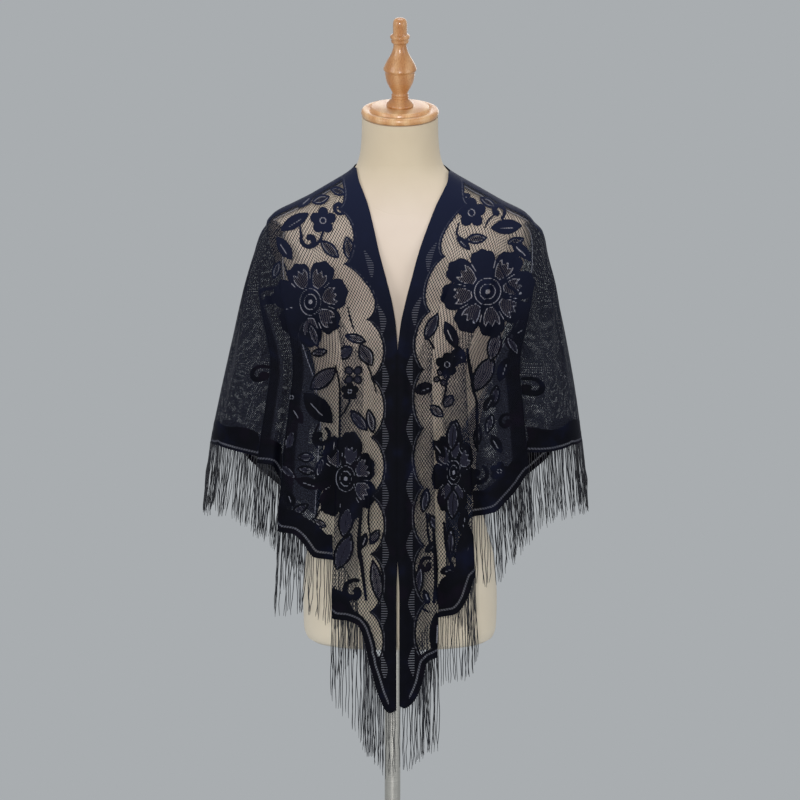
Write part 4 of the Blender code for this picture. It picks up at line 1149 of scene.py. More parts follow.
# %% How each yarn falls
def hang_yarns(side, start, end, chance):
    """Centre lines of the yarns, yarn by yarn."""
    root, slant, along, at_hem = yarn_roots(side, start, end, chance)
    count = len(root)
    hang = slant * FLARE + np.array([0.0, 0.0, FLARE - 1.0])
    hang /= np.linalg.norm(hang, axis=1)[:, None]
    out = np.cross(along, [0.0, 0.0, 1.0])
    length = YARN_LENGTH * LENGTH_AT[side](at_hem) * (1.0 + LENGTH_SPREAD * chance.uniform(-1.0, 1.0, count))
    share = np.linspace(0.0, 1.0, YARN_RINGS)
    clump = np.cumsum(chance.uniform(0.0, 2.0, count) > 2.0 - 2.0 / CLUMP)
    pull = np.zeros(count)
    for group in range(clump[-1] + 1):
        members = np.nonzero(clump == group)[0]
        pull[members] = (members.mean() - members) * YARN_PITCH * chance.uniform(*PULLED_BY)
    pull = np.clip(pull, -PULL_MOST, PULL_MOST)
    sway_along = np.zeros((count, YARN_RINGS))
    sway_out = np.zeros((count, YARN_RINGS))
    for waves, size in SWAYS:
        for sway in (sway_along, sway_out):
            turn = chance.uniform(0.0, 2.0 * math.pi, (count, 1))
            depth = size * chance.uniform(0.3, 1.0, (count, 1))
            sway += depth * (np.sin(2.0 * math.pi * waves * share + turn) - np.sin(turn))
    sway_along = (sway_along + pull[:, None] * share) * share ** 0.5
    sway_out *= share ** 0.5
    line = root[:, None, :] + hang[:, None, :] * (length[:, None] * share)[:, :, None]
    line += along[:, None, :] * sway_along[:, :, None] + out[:, None, :] * sway_out[:, :, None]
    return line, along, out


# %% Spin the yarns
def tube_faces(starts, rings, sides):
    """Faces of closed tubes, whose rings of points follow on from each of these starting numbers."""
    k = np.arange(sides)
    after = (k + 1) % sides
    level = starts[:, None, None] + np.arange(rings - 1)[:, None] * sides
    quads = np.stack([level + k, level + after, level + sides + after, level + sides + k], axis=-1)
    first = starts[:, None] + k
    caps = np.concatenate([first[:, ::-1], first + (rings - 1) * sides])
    return quads.reshape(-1, 4).tolist() + caps.tolist()


# %% One mesh for each stretch of the hem
def yarn_tubes(name, lines, along, out):
    """One mesh of closed tubes round the centre lines."""
    radius = YARN_PROFILE(np.linspace(0.0, 1.0, YARN_RINGS))
    turn = np.linspace(0.0, 2.0 * math.pi, YARN_SIDES, endpoint=False)
    ring = along[:, None, :] * np.cos(turn)[:, None] + out[:, None, :] * np.sin(turn)[:, None]
    points = lines[:, :, None, :] + ring[:, None, :, :] * radius[:, None, None]
    starts = np.arange(len(lines)) * YARN_RINGS * YARN_SIDES
    made = new_piece(name, points.reshape(-1, 3), tube_faces(starts, YARN_RINGS, YARN_SIDES))
    outward_faces(made)
    made.data.shade_smooth()
    return made


def select_only(piece):
    """Makes this the one piece that operators act on."""
    bpy.ops.object.select_all(action="DESELECT")
    bpy.context.view_layer.objects.active = piece
    piece.select_set(True)


def outward_faces(piece):
    """Turns a closed mesh's faces out, as Blender's own operator does."""
    select_only(piece)
    bpy.ops.object.mode_set(mode="EDIT")
    bpy.ops.mesh.select_all(action="SELECT")
    bpy.ops.mesh.normals_make_consistent(inside=False)
    bpy.ops.object.mode_set(mode="OBJECT")


chance = np.random.default_rng(7)
fringes = {}
for side in SIGN:
    fringes[f"yarns_front_{side}"] = [hang_yarns(side, 0.0, HEMS[side]["side"], chance)]
fringes["yarns_back"] = [hang_yarns(side, HEMS[side]["side"], HEMS[side]["end"], chance) for side in SIGN]
yarns = {}
for name, parts in fringes.items():
    lines, along, out = (np.concatenate(column) for column in zip(*parts))
    yarns[name] = yarn_tubes(name, lines, along, out)
    print(name, "yarns", len(lines), "faces", len(yarns[name].data.polygons))

# %% [markdown]
# ## The dress form
#
# The form is a moulded torso covered in stretched jersey, so its skin is one smooth surface. It is lofted
# through the same ovals as the solid, four times as finely, and its neck is cut on a slope for the cap.

# %% Loft the form
FORM_SIDES = 144
FORM_RINGS = 160


def loft_form():
    heights = np.linspace(FORM[0].z, NECK_TOP, FORM_RINGS)
    heights = np.unique(np.concatenate([heights, [row.z for row in FORM]]))
    turn = np.linspace(0.0, 2.0 * math.pi, FORM_SIDES, endpoint=False)
    size = [FORM_AT[name](heights)[:, None] for name in ("half_width", "front", "back", "power")]
    out, forward = oval(turn[None, :], *size)
    slope = math.tan(CAP_TILT) * smoothstep(TILT_FROM, NECK_TOP, heights)[:, None]
    points = np.stack([FORM_X + out, -forward, heights[:, None] - forward * slope], axis=-1)
    form = new_piece("form_skin", points.reshape(-1, 3), tube_faces(np.array([0]), len(heights), FORM_SIDES))
    outward_faces(form)
    form.data.shade_smooth()
    form.data.set_sharp_from_angle(angle=math.radians(50.0))
    return form


form = loft_form()
print("form_skin faces", len(form.data.polygons))

# %% [markdown]
# ## The turned cap and finial
#
# Both are beech turned on a lathe, so both are made the way a lathe makes them: half a profile is drawn as a
# line of points and spun round the axis. The profile is the table of the turner's sizes, run through a smooth
# curve so that the coves and beads are round, with a real corner only where the turner cut one.

# %% The turner's sizes, in millimetres up the cap's own axis
Turned = namedtuple("Turned", "height radius")

CAP = in_metres(Turned, [
    (0.0, 0.0), (0.0, 52.5), (0.6, 53.9), (2.0, 55.0), (5.0, 55.8), (8.0, 55.0), (9.4, 53.9), (10.0, 52.5),
    (9.7, 45.0), (8.8, 43.8), (9.0, 43.1), (10.6, 42.5), (12.5, 42.0), (13.4, 41.3), (13.8, 40.0),
    (13.8, 0.0),
])
FINIAL = in_metres(Turned, [
    (0.0, 19.0), (2.0, 19.6), (5.0, 18.2), (8.2, 15.5), (10.6, 12.9), (11.8, 11.9), (13.7, 12.7),
    (15.2, 11.5), (17.0, 12.4), (18.8, 11.3), (20.7, 11.3), (23.6, 12.6), (30.9, 16.7), (38.3, 19.7),
    (45.6, 21.2), (51.2, 21.7), (52.6, 22.8), (55.1, 23.8), (57.1, 23.2), (60.3, 21.9), (67.6, 18.2),
    (74.9, 13.9), (82.3, 10.8), (89.6, 9.5), (92.1, 9.7), (93.8, 12.1), (96.2, 12.8), (98.4, 12.6),
    (100.0, 13.7), (102.4, 14.2), (104.6, 12.9), (105.8, 10.3), (110.0, 10.0), (120.0, 10.2), (125.2, 9.2),
    (128.4, 6.4), (130.0, 0.0),
])
FINIAL_POINTS = 190
TIP_POINTS, TIP_LENGTH = 12, 0.0070  # of which so many round off the tip, closer together towards its end
LATHE_STEPS = 96
SEAM = 0.0003
FINIAL_FOOT = SEAM + CAP[-1].height + SEAM


# %% Turn the two pieces
def turn_on_lathe(name, profile, foot):
    """Spins a profile of heights and radii round the neck's sloping axis."""
    line = np.array([(radius, 0.0, height) for height, radius in profile])
    piece = new_piece(name, line, [], [(i, i + 1) for i in range(len(line) - 1)])
    select_only(piece)
    bpy.ops.object.mode_set(mode="EDIT")
    bpy.ops.mesh.select_all(action="SELECT")
    bpy.ops.mesh.spin(steps=LATHE_STEPS, angle=2.0 * math.pi, center=(0.0, 0.0, 0.0), axis=(0.0, 0.0, 1.0))
    bpy.ops.mesh.select_all(action="SELECT")
    bpy.ops.mesh.remove_doubles(threshold=1e-6)
    bpy.ops.mesh.normals_make_consistent(inside=False)
    bpy.ops.object.mode_set(mode="OBJECT")
    lean = Matrix.Translation((FORM_X, 0.0, NECK_TOP)) @ Matrix.Rotation(CAP_TILT, 4, "X")
    piece.data.transform(lean @ Matrix.Translation((0.0, 0.0, foot)))
    bpy.ops.object.shade_smooth_by_angle(angle=math.radians(38.0))
    return piece


finial_curve = Curve(FINIAL)
finial_heights = np.linspace(0.0, FINIAL[-1].height, FINIAL_POINTS)
finial_heights[-TIP_POINTS:] = FINIAL[-1].height - TIP_LENGTH * np.linspace(1.0, 0.0, TIP_POINTS) ** 2
finial_profile = [(0.0, 0.0)] + [(height, float(finial_curve(height))) for height in finial_heights]
cap = turn_on_lathe("wood_cap", CAP, SEAM)
finial = turn_on_lathe("wood_finial", finial_profile, FINIAL_FOOT)
print("cap faces", len(cap.data.polygons), "finial faces", len(finial.data.polygons))

# %% [markdown]
# ## The stand
#
# A plain tube and a round foot plate with a collar. Each starts from a cylinder at its size. The plate's
# collar is inset from its top face and drawn up, and a bevel rounds the edges a hand would touch.

# %% Make the pole and the foot plate
BASE_RADIUS = 0.160
BASE_THICKNESS = 0.009
COLLAR_RADIUS = 0.024
COLLAR_HEIGHT = 0.028
POLE_RADIUS = 0.0115
POLE_EDGE, PLATE_EDGE = 0.0006, 0.0012  # how far their edges are rounded


def cylinder(name, sides, radius, foot, top):
    """An upright cylinder between two heights, selected."""
    bpy.ops.object.select_all(action="DESELECT")
    bpy.ops.mesh.primitive_cylinder_add(vertices=sides, radius=radius, depth=top - foot,
                                        location=(0.0, 0.0, 0.5 * (foot + top)))
    made = bpy.context.object
    made.name = made.data.name = name
    return made


# %% The foot plate and its collar
def make_plate():
    plate = cylinder("foot_plate", 160, BASE_RADIUS, 0.0, BASE_THICKNESS)
    bpy.ops.object.mode_set(mode="EDIT")
    bpy.ops.mesh.select_mode(type="FACE")
    pick_faces(plate, lambda face: face.normal.z > 0.9)
    bpy.ops.mesh.inset(thickness=BASE_RADIUS - COLLAR_RADIUS)
    bpy.ops.mesh.extrude_region_move(TRANSFORM_OT_translate={"value": (0.0, 0.0, COLLAR_HEIGHT)})
    bpy.ops.object.mode_set(mode="OBJECT")
    return plate


def pick_faces(piece, wanted):
    """Selects the faces of the piece in edit mode that wanted says yes to."""
    work = bmesh.from_edit_mesh(piece.data)
    for face in work.faces:
        face.select_set(wanted(face))
    bmesh.update_edit_mesh(piece.data)


# %% Round the edges
def place_applied(piece):
    """Applies the object's place to its mesh."""
    select_only(piece)
    bpy.ops.object.transform_apply(location=True, rotation=True, scale=True)


def rounded(piece, width):
    """Rounds the piece's sharp edges and applies the modifier."""
    bevel = piece.modifiers.new("rounded edges", "BEVEL")
    bevel.width, bevel.segments = width, 4
    bevel.limit_method, bevel.angle_limit = "ANGLE", math.radians(50.0)
    select_only(piece)
    bpy.ops.object.modifier_apply(modifier=bevel.name)
    bpy.ops.object.shade_smooth_by_angle(angle=math.radians(35.0))


pole = cylinder("steel_pole", 64, POLE_RADIUS, BASE_THICKNESS + COLLAR_HEIGHT + SEAM, FORM[0].z - SEAM)
plate = make_plate()
for piece, width in ((pole, POLE_EDGE), (plate, PLATE_EDGE)):
    place_applied(piece)
    rounded(piece, width)
    print(piece.name, "faces", len(piece.data.polygons))

# %% [markdown]
# ## Colours and nodes
#
# A colour is read off as an sRGB hex value, but a shader works in linear light, so one function turns the one
# into the other. A second small function adds a node with its settings and its inputs, so that each material
# below reads as a recipe.


# %% Helpers for the materials
def linear(hex_colour):
    """Linear RGBA of an sRGB hex colour."""
    parts = [int(hex_colour[i:i + 2], 16) / 255.0 for i in (1, 3, 5)]
    return (*[p / 12.92 if p <= 0.04045 else ((p + 0.055) / 1.055) ** 2.4 for p in parts], 1.0)


def first_shown(sockets):
    return next(socket for socket in sockets if socket.enabled)


def add_node(nodes, kind, *inputs, stops=(), **named):
    """Adds a node. Each input, in order or by name, is a value, a hex colour, a node or a node's socket.

    A name with a capital is an input's, with _ for each space, and any other is a setting's."""
    node = nodes.new("ShaderNode" + kind)
    sockets = [(name.replace("_", " "), value) for name, value in named.items() if name[0].isupper()]
    for name, value in named.items():
        if not name[0].isupper():
            setattr(node, name, value)
    if stops:
        elements = node.color_ramp.elements
        while len(elements) < len(stops):
            elements.new(0.5)
        for element, (place, colour) in zip(elements, stops):
            element.position, element.color = place, linear(colour)
    shown = [socket for socket in node.inputs if socket.enabled]
    pairs = list(zip(shown, inputs)) + [(node.inputs[name], value) for name, value in sockets]
    for socket, value in pairs:
        if isinstance(value, bpy.types.Node):
            value = first_shown(value.outputs)
        if isinstance(value, bpy.types.NodeSocket):
            nodes.id_data.links.new(value, socket)
        else:
            socket.default_value = linear(value) if isinstance(value, str) else value
    return node


# %% A material and its shader
def new_material(name, **looks):
    """A material with its Principled shader. Looks are the shader's inputs, with _ for each space."""
    made = bpy.data.materials.new(name)
    made.use_nodes = True
    nodes = made.node_tree.nodes
    shader = nodes["Principled BSDF"]
    for look, value in looks.items():
        shader.inputs[look.replace("_", " ")].default_value = value
    return made, partial(add_node, nodes), partial(wire, shader)


def wire(shader, **sources):
    """Links nodes to the shader's inputs."""
    for look, source in sources.items():
        source = first_shown(source.outputs) if isinstance(source, bpy.types.Node) else source
        shader.id_data.links.new(source, shader.inputs[look.replace("_", " ")])


def dress(piece, finish):
    piece.data.materials.clear()
    piece.data.materials.append(finish)


# %% [markdown]
# ## Jersey
#
# The form's cover is ivory cotton jersey, stretched smooth. Up close it is fine ribs of knit stitches half a
# millimetre wide. Those are too fine to show from across a room, so the ribs are drawn 1.6 mm apart as a low
# bump, with a faint warm unevenness as padding shows through cotton. The neck is painted darker, a painted
# shade, and a little yellower, and a seam smiles across the chest below it. It is matt, with the soft sheen
# of fibre.

# %% Sizes of the jersey
RIB = 0.0016
NECK_SHADE_FROM, NECK_SHADE_BY = 1.350, 1.430  # the neck's painted shade, darker and a little yellower, comes in between these heights
HIPS = (0.90, 1.15)  # the cotton is a little yellower below these heights
SEAM_LOW, SEAM_BEND = 1.361, 7.7  # the seam's lowest height, and how its height grows with x squared
SEAM_HALF = 0.0016
SEAM_DEPTH = 1.6  # how far the seam sinks in, in the height of a rib
FRONT_OF = -0.03  # the seam runs on the front alone


# %% Ivory jersey over padding
def make_jersey():
    made, add, link = new_material("ivory cotton jersey, knitted", Roughness=0.92, Sheen_Weight=0.15,
                                   Sheen_Roughness=0.6)
    place = add("TexCoord").outputs["Object"]
    at = add("SeparateXYZ", place).outputs
    mottle = add("TexNoise", Vector=place, Scale=9.0, Detail=3.0)
    chest = add("ValToRGB", mottle, stops=((0.30, "#D9C7B6"), (0.70, "#E1D0C0")))
    # The neck is painted darker than the chest, a painted shade, and a little yellower.
    neck_shaded = add("ValToRGB", mottle, stops=((0.30, "#CDBCA1"), (0.70, "#D6C6AC")))
    hips = add("ValToRGB", mottle, stops=((0.30, "#D7CAB4"), (0.70, "#DFD3BE")))
    neck_shade_share = add("MapRange", at["Z"], NECK_SHADE_FROM, NECK_SHADE_BY)
    body = add("Mix", add("MapRange", at["Z"], *HIPS), hips, chest, data_type="RGBA")
    from_middle = add("Math", at["X"], FORM_X, operation="SUBTRACT")
    bend = add("Math", from_middle, from_middle, operation="MULTIPLY")
    seam_height = add("Math", bend, SEAM_BEND, SEAM_LOW, operation="MULTIPLY_ADD")
    off_seam = add("Math", add("Math", at["Z"], seam_height, operation="SUBTRACT"), operation="ABSOLUTE")
    in_front = add("Math", at["Y"], FRONT_OF, operation="LESS_THAN")
    seam = add("Math", add("MapRange", off_seam, SEAM_HALF, 0.0), in_front, operation="MULTIPLY")
    link(Base_Color=add("Mix", neck_shade_share, body, neck_shaded, data_type="RGBA"))
    rib_scale = 1.0 / RIB / math.pi
    ribs = add("TexWave", Vector=place, Scale=rib_scale, Distortion=0.6, Detail=1.0,
               bands_direction="X").outputs["Fac"]
    fuzz = add("TexNoise", Vector=place, Scale=1400.0, Detail=2.0)
    knit = add("Math", ribs, fuzz, operation="ADD")
    height = add("Math", seam, -SEAM_DEPTH, knit, operation="MULTIPLY_ADD")
    link(Normal=add("Bump", Height=height, Strength=0.12, Distance=0.0004))
    return made


# %% [markdown]
# ## Beech
#
# Beech is a close, warm wood with fine darker flecks and growth rings. The rings run round the blank's own
# length, so on a turned piece they show as long ovals on its curves. The lathe leaves fine rings round the
# axis as well, which a thin clear lacquer softens into a satin gloss. The finial is drawn in a redder and
# darker beech than the pale beech of the cap.


# %% Lacquered beech
TOOL_MARK = 0.0022  # the tool's rings, drawn three times as coarse as real ones to show
PALE_BEECH = ("#CF9A66", "#D8A774", "#E3B988")
DARKER_BEECH = ("#B87E4A", "#C18A56", "#CF9D6C")


def make_beech(name, tones):
    made, add, link = new_material(name, Roughness=0.36, Coat_Weight=0.5, Coat_Roughness=0.16)
    place = add("TexCoord").outputs["Object"]
    blank = add("Mapping", place, Location=(0.060, 0.045, 0.0), Rotation=(CAP_TILT, 0.06, 0.0),
                Scale=(1.0, 1.0, 0.07))
    rings = add("TexWave", Vector=blank, Scale=15.0, Distortion=3.4, Detail=3.0, Detail_Scale=1.3,
                wave_type="RINGS", rings_direction="Z").outputs["Fac"]
    long_grain = add("Mapping", place, Scale=(900.0, 900.0, 120.0))
    flecks = add("TexNoise", Vector=long_grain, Scale=1.0, Detail=2.0)
    body = add("ValToRGB", rings, stops=tuple(zip((0.0, 0.55, 1.0), tones)))
    dark = add("ValToRGB", flecks, stops=((0.38, "#C49C74"), (0.52, "#FFFFFF")))
    link(Base_Color=add("Mix", 0.4, body, dark, data_type="RGBA", blend_type="MULTIPLY"))
    axis = add("Mapping", place, Location=(-FORM_X, 0.0, -NECK_TOP))
    upright = add("Mapping", axis, Rotation=(-CAP_TILT, 0.0, 0.0))
    tool = add("TexWave", Vector=upright, Scale=1.0 / TOOL_MARK / math.pi, Distortion=0.4,
               wave_type="RINGS", rings_direction="Z").outputs["Fac"]
    height = add("Math", flecks, 0.5, tool, operation="MULTIPLY_ADD")
    link(Normal=add("Bump", Height=height, Strength=0.15, Distance=0.0003))
    return made


# %% [markdown]
# ## Steel tube and painted plate
#
# The pole is a drawn steel tube brushed round its girth, so its highlight is streaked in fine rings. The foot
# plate is steel with a satin grey powder coat, which has a slight orange-peel texture.


# %% Brushed steel and grey powder coat
def make_steel():
    made, add, link = new_material("drawn steel tube, brushed", Metallic=1.0)
    place = add("TexCoord").outputs["Object"]
    girth = add("Mapping", place, Scale=(60.0, 60.0, 2500.0))
    brush = add("TexNoise", Vector=girth, Scale=1.0, Detail=3.0)
    link(Base_Color=add("ValToRGB", brush, stops=((0.3, "#B9B6AE"), (0.7, "#D2CFC8"))),
         Roughness=add("MapRange", brush, 0.0, 1.0, 0.28, 0.42),
         Normal=add("Bump", Height=brush, Strength=0.10, Distance=0.0001))
    return made


def make_powder_coat():
    made, add, link = new_material("steel plate, grey powder coated", Roughness=0.48)
    place = add("TexCoord").outputs["Object"]
    peel = add("TexNoise", Vector=place, Scale=700.0, Detail=2.0)
    cloud = add("TexNoise", Vector=place, Scale=14.0, Detail=2.0)
    link(Base_Color=add("ValToRGB", cloud, stops=((0.3, "#8A8B8C"), (0.7, "#929394"))),
         Normal=add("Bump", Height=peel, Strength=0.18, Distance=0.0003))
    return made


# %% [markdown]
# ## Fringe yarn
#
# The fringe is soft spun polyester in the navy of the lace. From a step away each yarn is a dark line with a
# faint bluish fuzz where the light catches the fibres, and no two hold quite the same shade.


# %% Navy fringe yarn
def make_yarn():
    made, add, link = new_material("navy polyester yarn, spun", Roughness=0.85, Sheen_Weight=0.10)
    place = add("TexCoord").outputs["Object"]
    strand = add("Mapping", place, Scale=(260.0, 260.0, 18.0))
    shade = add("TexNoise", Vector=strand, Scale=1.0, Detail=2.0)
    twist = add("TexNoise", Vector=place, Scale=2200.0, Detail=1.0)
    link(Base_Color=add("ValToRGB", shade, stops=((0.3, "#08090F"), (0.7, "#161926"))),
         Normal=add("Bump", Height=twist, Strength=0.3, Distance=0.0003))
    return made


# %% [markdown]
# ## The lace's material
#
# The lace is knitted from fine navy polyester. What the eye reads is how much of it is thread: about half in
# the open net, four fifths in the dense ground, nearly all in a sheer filling and all in the clothwork. The
# stored distances choose between those grounds, and the threads themselves are drawn on the flat cloth's own
# coordinates, so they fold with it. The holes are real transparency, so whatever lies behind the lace shows
# through it. An openwork hole lets only part of the light through, and the rest of it is painted pale grey, a
# painted light for the lit form behind it and the glint of its threads. The clothwork, the dense ground and
# the filling carry painted sheen, and the doubled edges of some folds are painted nearly solid as their
# shade.
# Under a fold the net is drawn thinner, because two such coarse nets over each other would close up, which
# the real fine threads don't.

# %% Sizes of the threads, in millimetres
Net = namedtuple("Net", "wide high thread knot")  # thread and knot are shares of a mesh, from their middles
OPEN_NET = Net(4.2, 6.2, 0.092, 0.34)  # drawn a fifth wider than the real net, to stay visible
DENSE_NET = Net(3.0, 3.6, 0.31, 0.50)
FILLING_NET = Net(2.6, 3.2, 0.34, 0.55)
THINNER = Net(0.0, 0.0, 0.045, 0.20)  # how much less of the open net is drawn under a fold
UNEVEN_THREAD = 0.9  # how much the dense ground's threads swell and thin
WOBBLE = 2.0  # how far the threads wander to the side
RAGGED = 1.6  # how far a solid part's outline strays
OUTLINE_SOFT, THREAD_SOFT = 0.25, 0.03
FOLD_SHADE_COVER = 0.92  # how nearly solid the painted shade of a doubled fold is drawn
PAINTED_SHEEN_HEIGHTS = (1.17, 1.42)  # the clothwork is painted a lighter, clearer navy between these heights, in metres: a painted sheen where the bands face up to the light
HOLE_OPEN = 0.6  # how far a hole of an openwork line lets light through
Openwork = namedtuple("Openwork", "stored half_width soft repeat bar bar_soft open")
OPENWORK = (  # the rows of holes: round the motifs, along the hem, and in the fans of the scalloped band
    Openwork("openwork", 0.65, 0.2, 2.8, 0.10, 0.06, 1.00),
    Openwork("hem_openwork", 1.3, 0.4, 4.6, 0.14, 0.08, 0.20),
    Openwork("fan", 0.0, 0.2, 3.5, 0.36, 0.05, 0.24),
)
PILLAR = 1.6  # the pillars of stitches that run down the cloth
Cloud = namedtuple("Cloud", "scale detail")  # a noise's scale is in clouds per millimetre
CLOUDS = {"wobble": Cloud(0.12, 2.0), "outline": Cloud(0.35, 3.0), "speck": Cloud(0.6, 1.0),
          "shade": Cloud(0.02, 3.0), "nap": Cloud(0.9, 2.0)}
SOFT_EDGES = {"doubled": 1.8, "filling": 0.2, "open_ground": 1.5}


# %% A net of diamonds
def net_cover(add, u, v, wide, high, thread, knot):
    """1 on the net's threads and knots, and 0 in its meshes."""
    column = add("Math", u, wide, operation="DIVIDE")
    row = add("Math", v, high, operation="DIVIDE")
    gaps = [add("Math", add("Math", column, row, operation=way), 0.5, operation="PINGPONG")
            for way in ("ADD", "SUBTRACT")]
    in_thread = add("Math", thread, add("Math", *gaps, operation="MINIMUM"), operation="SUBTRACT")
    in_knot = add("Math", knot, add("Math", *gaps, operation="ADD"), operation="SUBTRACT")
    inside = add("Math", in_thread, in_knot, operation="MAXIMUM")
    return add("MapRange", inside, -THREAD_SOFT, THREAD_SOFT)


# %% Rows of holes
def openwork_holes(add, stored, slanting):
    """How far each place lies in a hole of the openwork, from 0 to 1."""
    hole_and_painted_light = 0.0
    for line, run in zip(OPENWORK, (slanting, slanting, stored["edge_run"])):
        beat = add("Math", add("Math", run, line.repeat, operation="DIVIDE"), 0.5, operation="PINGPONG")
        is_hole = add("MapRange", beat, line.bar - line.bar_soft, line.bar + line.bar_soft)
        # a line is stored as the distance from its middle, and a fan as the distance into it
        inward = (1.0, 0.0) if line.stored == "fan" else (-1.0, line.half_width)
        inside = add("Math", stored[line.stored], *inward, operation="MULTIPLY_ADD")
        shown = add("Math", add("MapRange", inside, -line.soft, line.soft), is_hole, operation="MULTIPLY")
        hole_and_painted_light = add("Math", add("Math", shown, line.open, operation="MULTIPLY"), hole_and_painted_light, operation="MAXIMUM")
    return hole_and_painted_light


# %% The navy of each ground
def lace_tone(add, cloud, is_open, is_solid, is_filling, hole_and_painted_light):
    # The clothwork's navy varies in large random clouds, and its bluer patches are a painted sheen.
    solid_tone_and_sheen = add("ValToRGB", cloud["shade"], stops=((0.30, "#0A0612"), (0.44, "#03040A"),
                                                        (0.56, "#05060F"), (0.72, "#090D20")))
    # The dense ground's thread varies speck by speck, and its lighter specks are painted highlights on the
    # threads.
    dense_tone_and_glints = add("ValToRGB", cloud["speck"], stops=((0.38, "#0C0D14"), (0.62, "#242631")))
    height = add("SeparateXYZ", add("TexCoord").outputs["Object"]).outputs["Z"]
    # Higher up the clothwork is painted a lighter, clearer navy, a painted sheen on the bands that face up to
    # the light.
    solid_tone_and_sheen = add("Mix", add("MapRange", height, *PAINTED_SHEEN_HEIGHTS), solid_tone_and_sheen, "#1C2137", data_type="RGBA")
    tone = add("Mix", is_open, dense_tone_and_glints, "#131826", data_type="RGBA")
    tone = add("Mix", is_solid, tone, solid_tone_and_sheen, data_type="RGBA")
    # A sheer filling's thread is painted a lighter grey-purple than the clothwork, a painted sheen on its
    # fine threads.
    tone = add("Mix", is_filling, tone, "#1E1E2A", data_type="RGBA")
    # Where an openwork hole is still partly covered, the cover is painted pale grey: painted light for the
    # lit form behind the hole and the glint of its threads.
    return add("Mix", hole_and_painted_light, tone, "#A4A6B6", data_type="RGBA")


# %% Navy warp-knitted lace
def make_lace():
    made, add, link = new_material("navy polyester lace, warp knitted", Roughness=0.6,
                                   Specular_IOR_Level=0.05, Sheen_Weight=0.022,
                                   Sheen_Tint=linear("#4A58A8"))
    names = ("clothwork", "under_fold", "edge_run", *SOFT_EDGES, *(row.stored for row in OPENWORK))
    stored = {name: add("Attribute", attribute_name=name).outputs["Fac"] for name in names}
    flat = add("Mapping", add("UVMap", uv_map="flat_cloth"), Scale=(1000.0, 1000.0, 1000.0))
    cloud = {name: add("TexNoise", Vector=flat, Scale=scale, Detail=detail)
             for name, (scale, detail) in CLOUDS.items()}
    across, v, _ = add("SeparateXYZ", flat).outputs
    u = add("Math", cloud["wobble"], WOBBLE, across, operation="MULTIPLY_ADD")

    ragged = add("Math", cloud["outline"], RAGGED, -0.5 * RAGGED, operation="MULTIPLY_ADD")
    worked_to = add("Math", stored["clothwork"], ragged, operation="ADD")
    is_worked = add("MapRange", worked_to, -OUTLINE_SOFT, OUTLINE_SOFT)
    doubled, is_filling, is_open = (add("MapRange", stored[name], -soft, soft)
                                    for name, soft in SOFT_EDGES.items())
    is_doubled = add("Math", doubled, FOLD_SHADE_COVER, operation="MULTIPLY")
    is_solid = add("Math", is_worked, is_doubled, operation="MAXIMUM")

    under = add("Math", stored["under_fold"], 0.001, operation="MULTIPLY")
    thin = [add("Math", under, -less, most, operation="MULTIPLY_ADD")
            for less, most in ((THINNER.thread, OPEN_NET.thread), (THINNER.knot, OPEN_NET.knot))]
    thick = add("Math", cloud["speck"], UNEVEN_THREAD, DENSE_NET.thread - 0.5 * UNEVEN_THREAD,
                operation="MULTIPLY_ADD")
    nets = (OPEN_NET[:2] + tuple(thin), DENSE_NET._replace(thread=thick), FILLING_NET)
    net, dense, filling = [net_cover(add, u, v, *sizes) for sizes in nets]
    hole_and_painted_light = openwork_holes(add, stored, add("Math", u, v, operation="ADD"))

    cover = add("Mix", is_open, dense, net)
    cover = add("Mix", is_solid, cover, 1.0)
    cover = add("Mix", is_filling, cover, filling)
    cover = add("Math", hole_and_painted_light, -HOLE_OPEN, cover, operation="MULTIPLY_ADD")
    link(Alpha=add("Math", cover, 0.0, operation="MAXIMUM"))
    link(Base_Color=lace_tone(add, cloud, is_open, is_solid, is_filling, hole_and_painted_light))

    pillar = add("Math", add("Math", u, PILLAR, operation="DIVIDE"), 0.5, operation="PINGPONG")
    net_height = add("Math", net, 0.4, operation="MULTIPLY")
    knit = add("Math", cloud["nap"], 0.5, pillar, operation="MULTIPLY_ADD")
    raised = add("Math", add("Mix", is_solid, net_height, 1.0), knit, operation="ADD")
    link(Normal=add("Bump", Height=raised, Strength=0.3, Distance=0.0004))
    return made


# %% Dress the pieces
lace, yarn = make_lace(), make_yarn()
pale_beech = make_beech("turned beech, clear lacquered", PALE_BEECH)
darker_beech = make_beech("turned beech, redder and darker, clear lacquered", DARKER_BEECH)
finishes = [(form, make_jersey()), (cap, pale_beech), (finial, darker_beech)]
finishes += [(pole, make_steel()), (plate, make_powder_coat())]
finishes += [(sheet, lace) for sheet in sheets.values()] + [(fringe, yarn) for fringe in yarns.values()]
for piece, finish in finishes:
    dress(piece, finish)
    print(piece.name, "-", finish.name)

# %% [markdown]
# ## Each piece in place of its solid
#
# Each piece stands for one solid and rides on the same body. The three stretches of lace are one shawl: a
# triangle 1.82 m along its long edge and 0.72 m deep.

# %% Stand-ins
STANDS_FOR = {
    "lace_front_left": ("shawl_front_left", "lace"),
    "lace_front_right": ("shawl_front_right", "lace"),
    "lace_back": ("shawl_back", "lace"),
    "yarns_front_left": ("fringe_front_left", "fringe"),
    "yarns_front_right": ("fringe_front_right", "fringe"),
    "yarns_back": ("fringe_back", "fringe"),
    "form_skin": ("form_torso", "jersey"),
    "wood_cap": ("neck_cap", "wood"),
    "wood_finial": ("neck_finial", "wood"),
    "steel_pole": ("stand_pole", "pole"),
    "foot_plate": ("stand_base", "base"),
}
for name, (solid, slot) in STANDS_FOR.items():
    piece = bpy.data.objects[name]
    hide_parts(solid)
    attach(piece, "root")

Cut = namedtuple("Cut", "width length area")

# %% [markdown]
# ## Floor, camera and light
#
# The shawl is seen as in a studio: from the front, slightly above, against plain grey, with large soft lamps
# so that the lace reads by its holes and not by hard shadows. The floor is a pale disc under the stand.

# %% Floor and grey surround
FLOOR_RADIUS = 1.85
BACKDROP = "#A9ADB0"
FLOOR = "#B9BCBE"


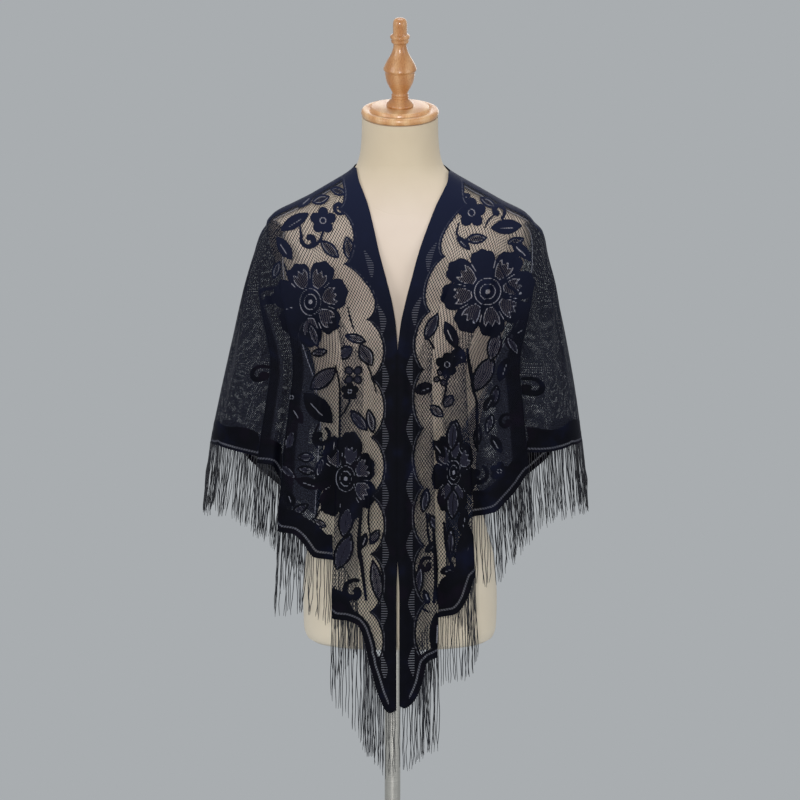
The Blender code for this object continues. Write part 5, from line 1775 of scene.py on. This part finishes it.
def make_floor():
    bpy.ops.object.select_all(action="DESELECT")
    bpy.ops.mesh.primitive_circle_add(vertices=128, radius=FLOOR_RADIUS, fill_type="NGON",
                                      location=(0.0, 0.0, -0.0005))
    floor = bpy.context.object
    floor.name = "studio_floor"
    made, add, link = new_material("pale matt floor", Roughness=0.9)
    cloud = add("TexNoise", Vector=add("TexCoord").outputs["Object"], Scale=3.0)
    link(Base_Color=add("ValToRGB", cloud, stops=((0.3, FLOOR), (0.7, "#BDC0C2"))))
    dress(floor, made)
    return floor


def make_surround():
    world = bpy.data.worlds.new("grey studio")
    world.use_nodes = True
    world.node_tree.nodes["Background"].inputs["Color"].default_value = linear(BACKDROP)
    bpy.context.scene.world = world


make_floor()
make_surround()

# %% Camera
TARGET = Vector((FORM_X, 0.0, 1.090))
DISTANCE = 4.2
ELEVATION = math.radians(6.0)
IMAGE_WIDE = 800  # pixels
METRES_PER_PIXEL = 0.00145  # at the target
SENSOR = 36.0


def make_camera():
    data = bpy.data.cameras.new("camera")
    data.sensor_width = SENSOR
    data.lens = DISTANCE * SENSOR / (IMAGE_WIDE * METRES_PER_PIXEL)
    camera = bpy.data.objects.new("camera", data)
    camera.location = TARGET + DISTANCE * Vector((0.0, -math.cos(ELEVATION), math.sin(ELEVATION)))
    camera.rotation_euler = (math.radians(90.0) - ELEVATION, 0.0, 0.0)
    bpy.context.scene.collection.objects.link(camera)
    bpy.context.scene.camera = camera


make_camera()

# %% Lamps
Lamp = namedtuple("Lamp", "name place size watts")
LAMPS = [
    Lamp("key", (-2.3, -1.8, 1.9), 1.5, 19.0),
    Lamp("fill", (2.4, -1.5, 1.5), 1.6, 13.0),
    Lamp("front", (-0.15, -3.9, 1.55), 0.4, 58.0),
    Lamp("top", (0.1, 0.3, 3.3), 1.2, 17.0),
    Lamp("back", (0.4, 2.4, 2.2), 1.8, 14.0),
]


def make_lamp(lamp):
    data = bpy.data.lights.new(lamp.name, "AREA")
    data.size, data.energy = lamp.size, lamp.watts
    made = bpy.data.objects.new(lamp.name, data)
    made.location = lamp.place
    made.rotation_euler = (TARGET - Vector(lamp.place)).to_track_quat("-Z", "Y").to_euler()
    bpy.context.scene.collection.objects.link(made)


for lamp in LAMPS:
    make_lamp(lamp)
bpy.context.scene.view_settings.view_transform = "Standard"
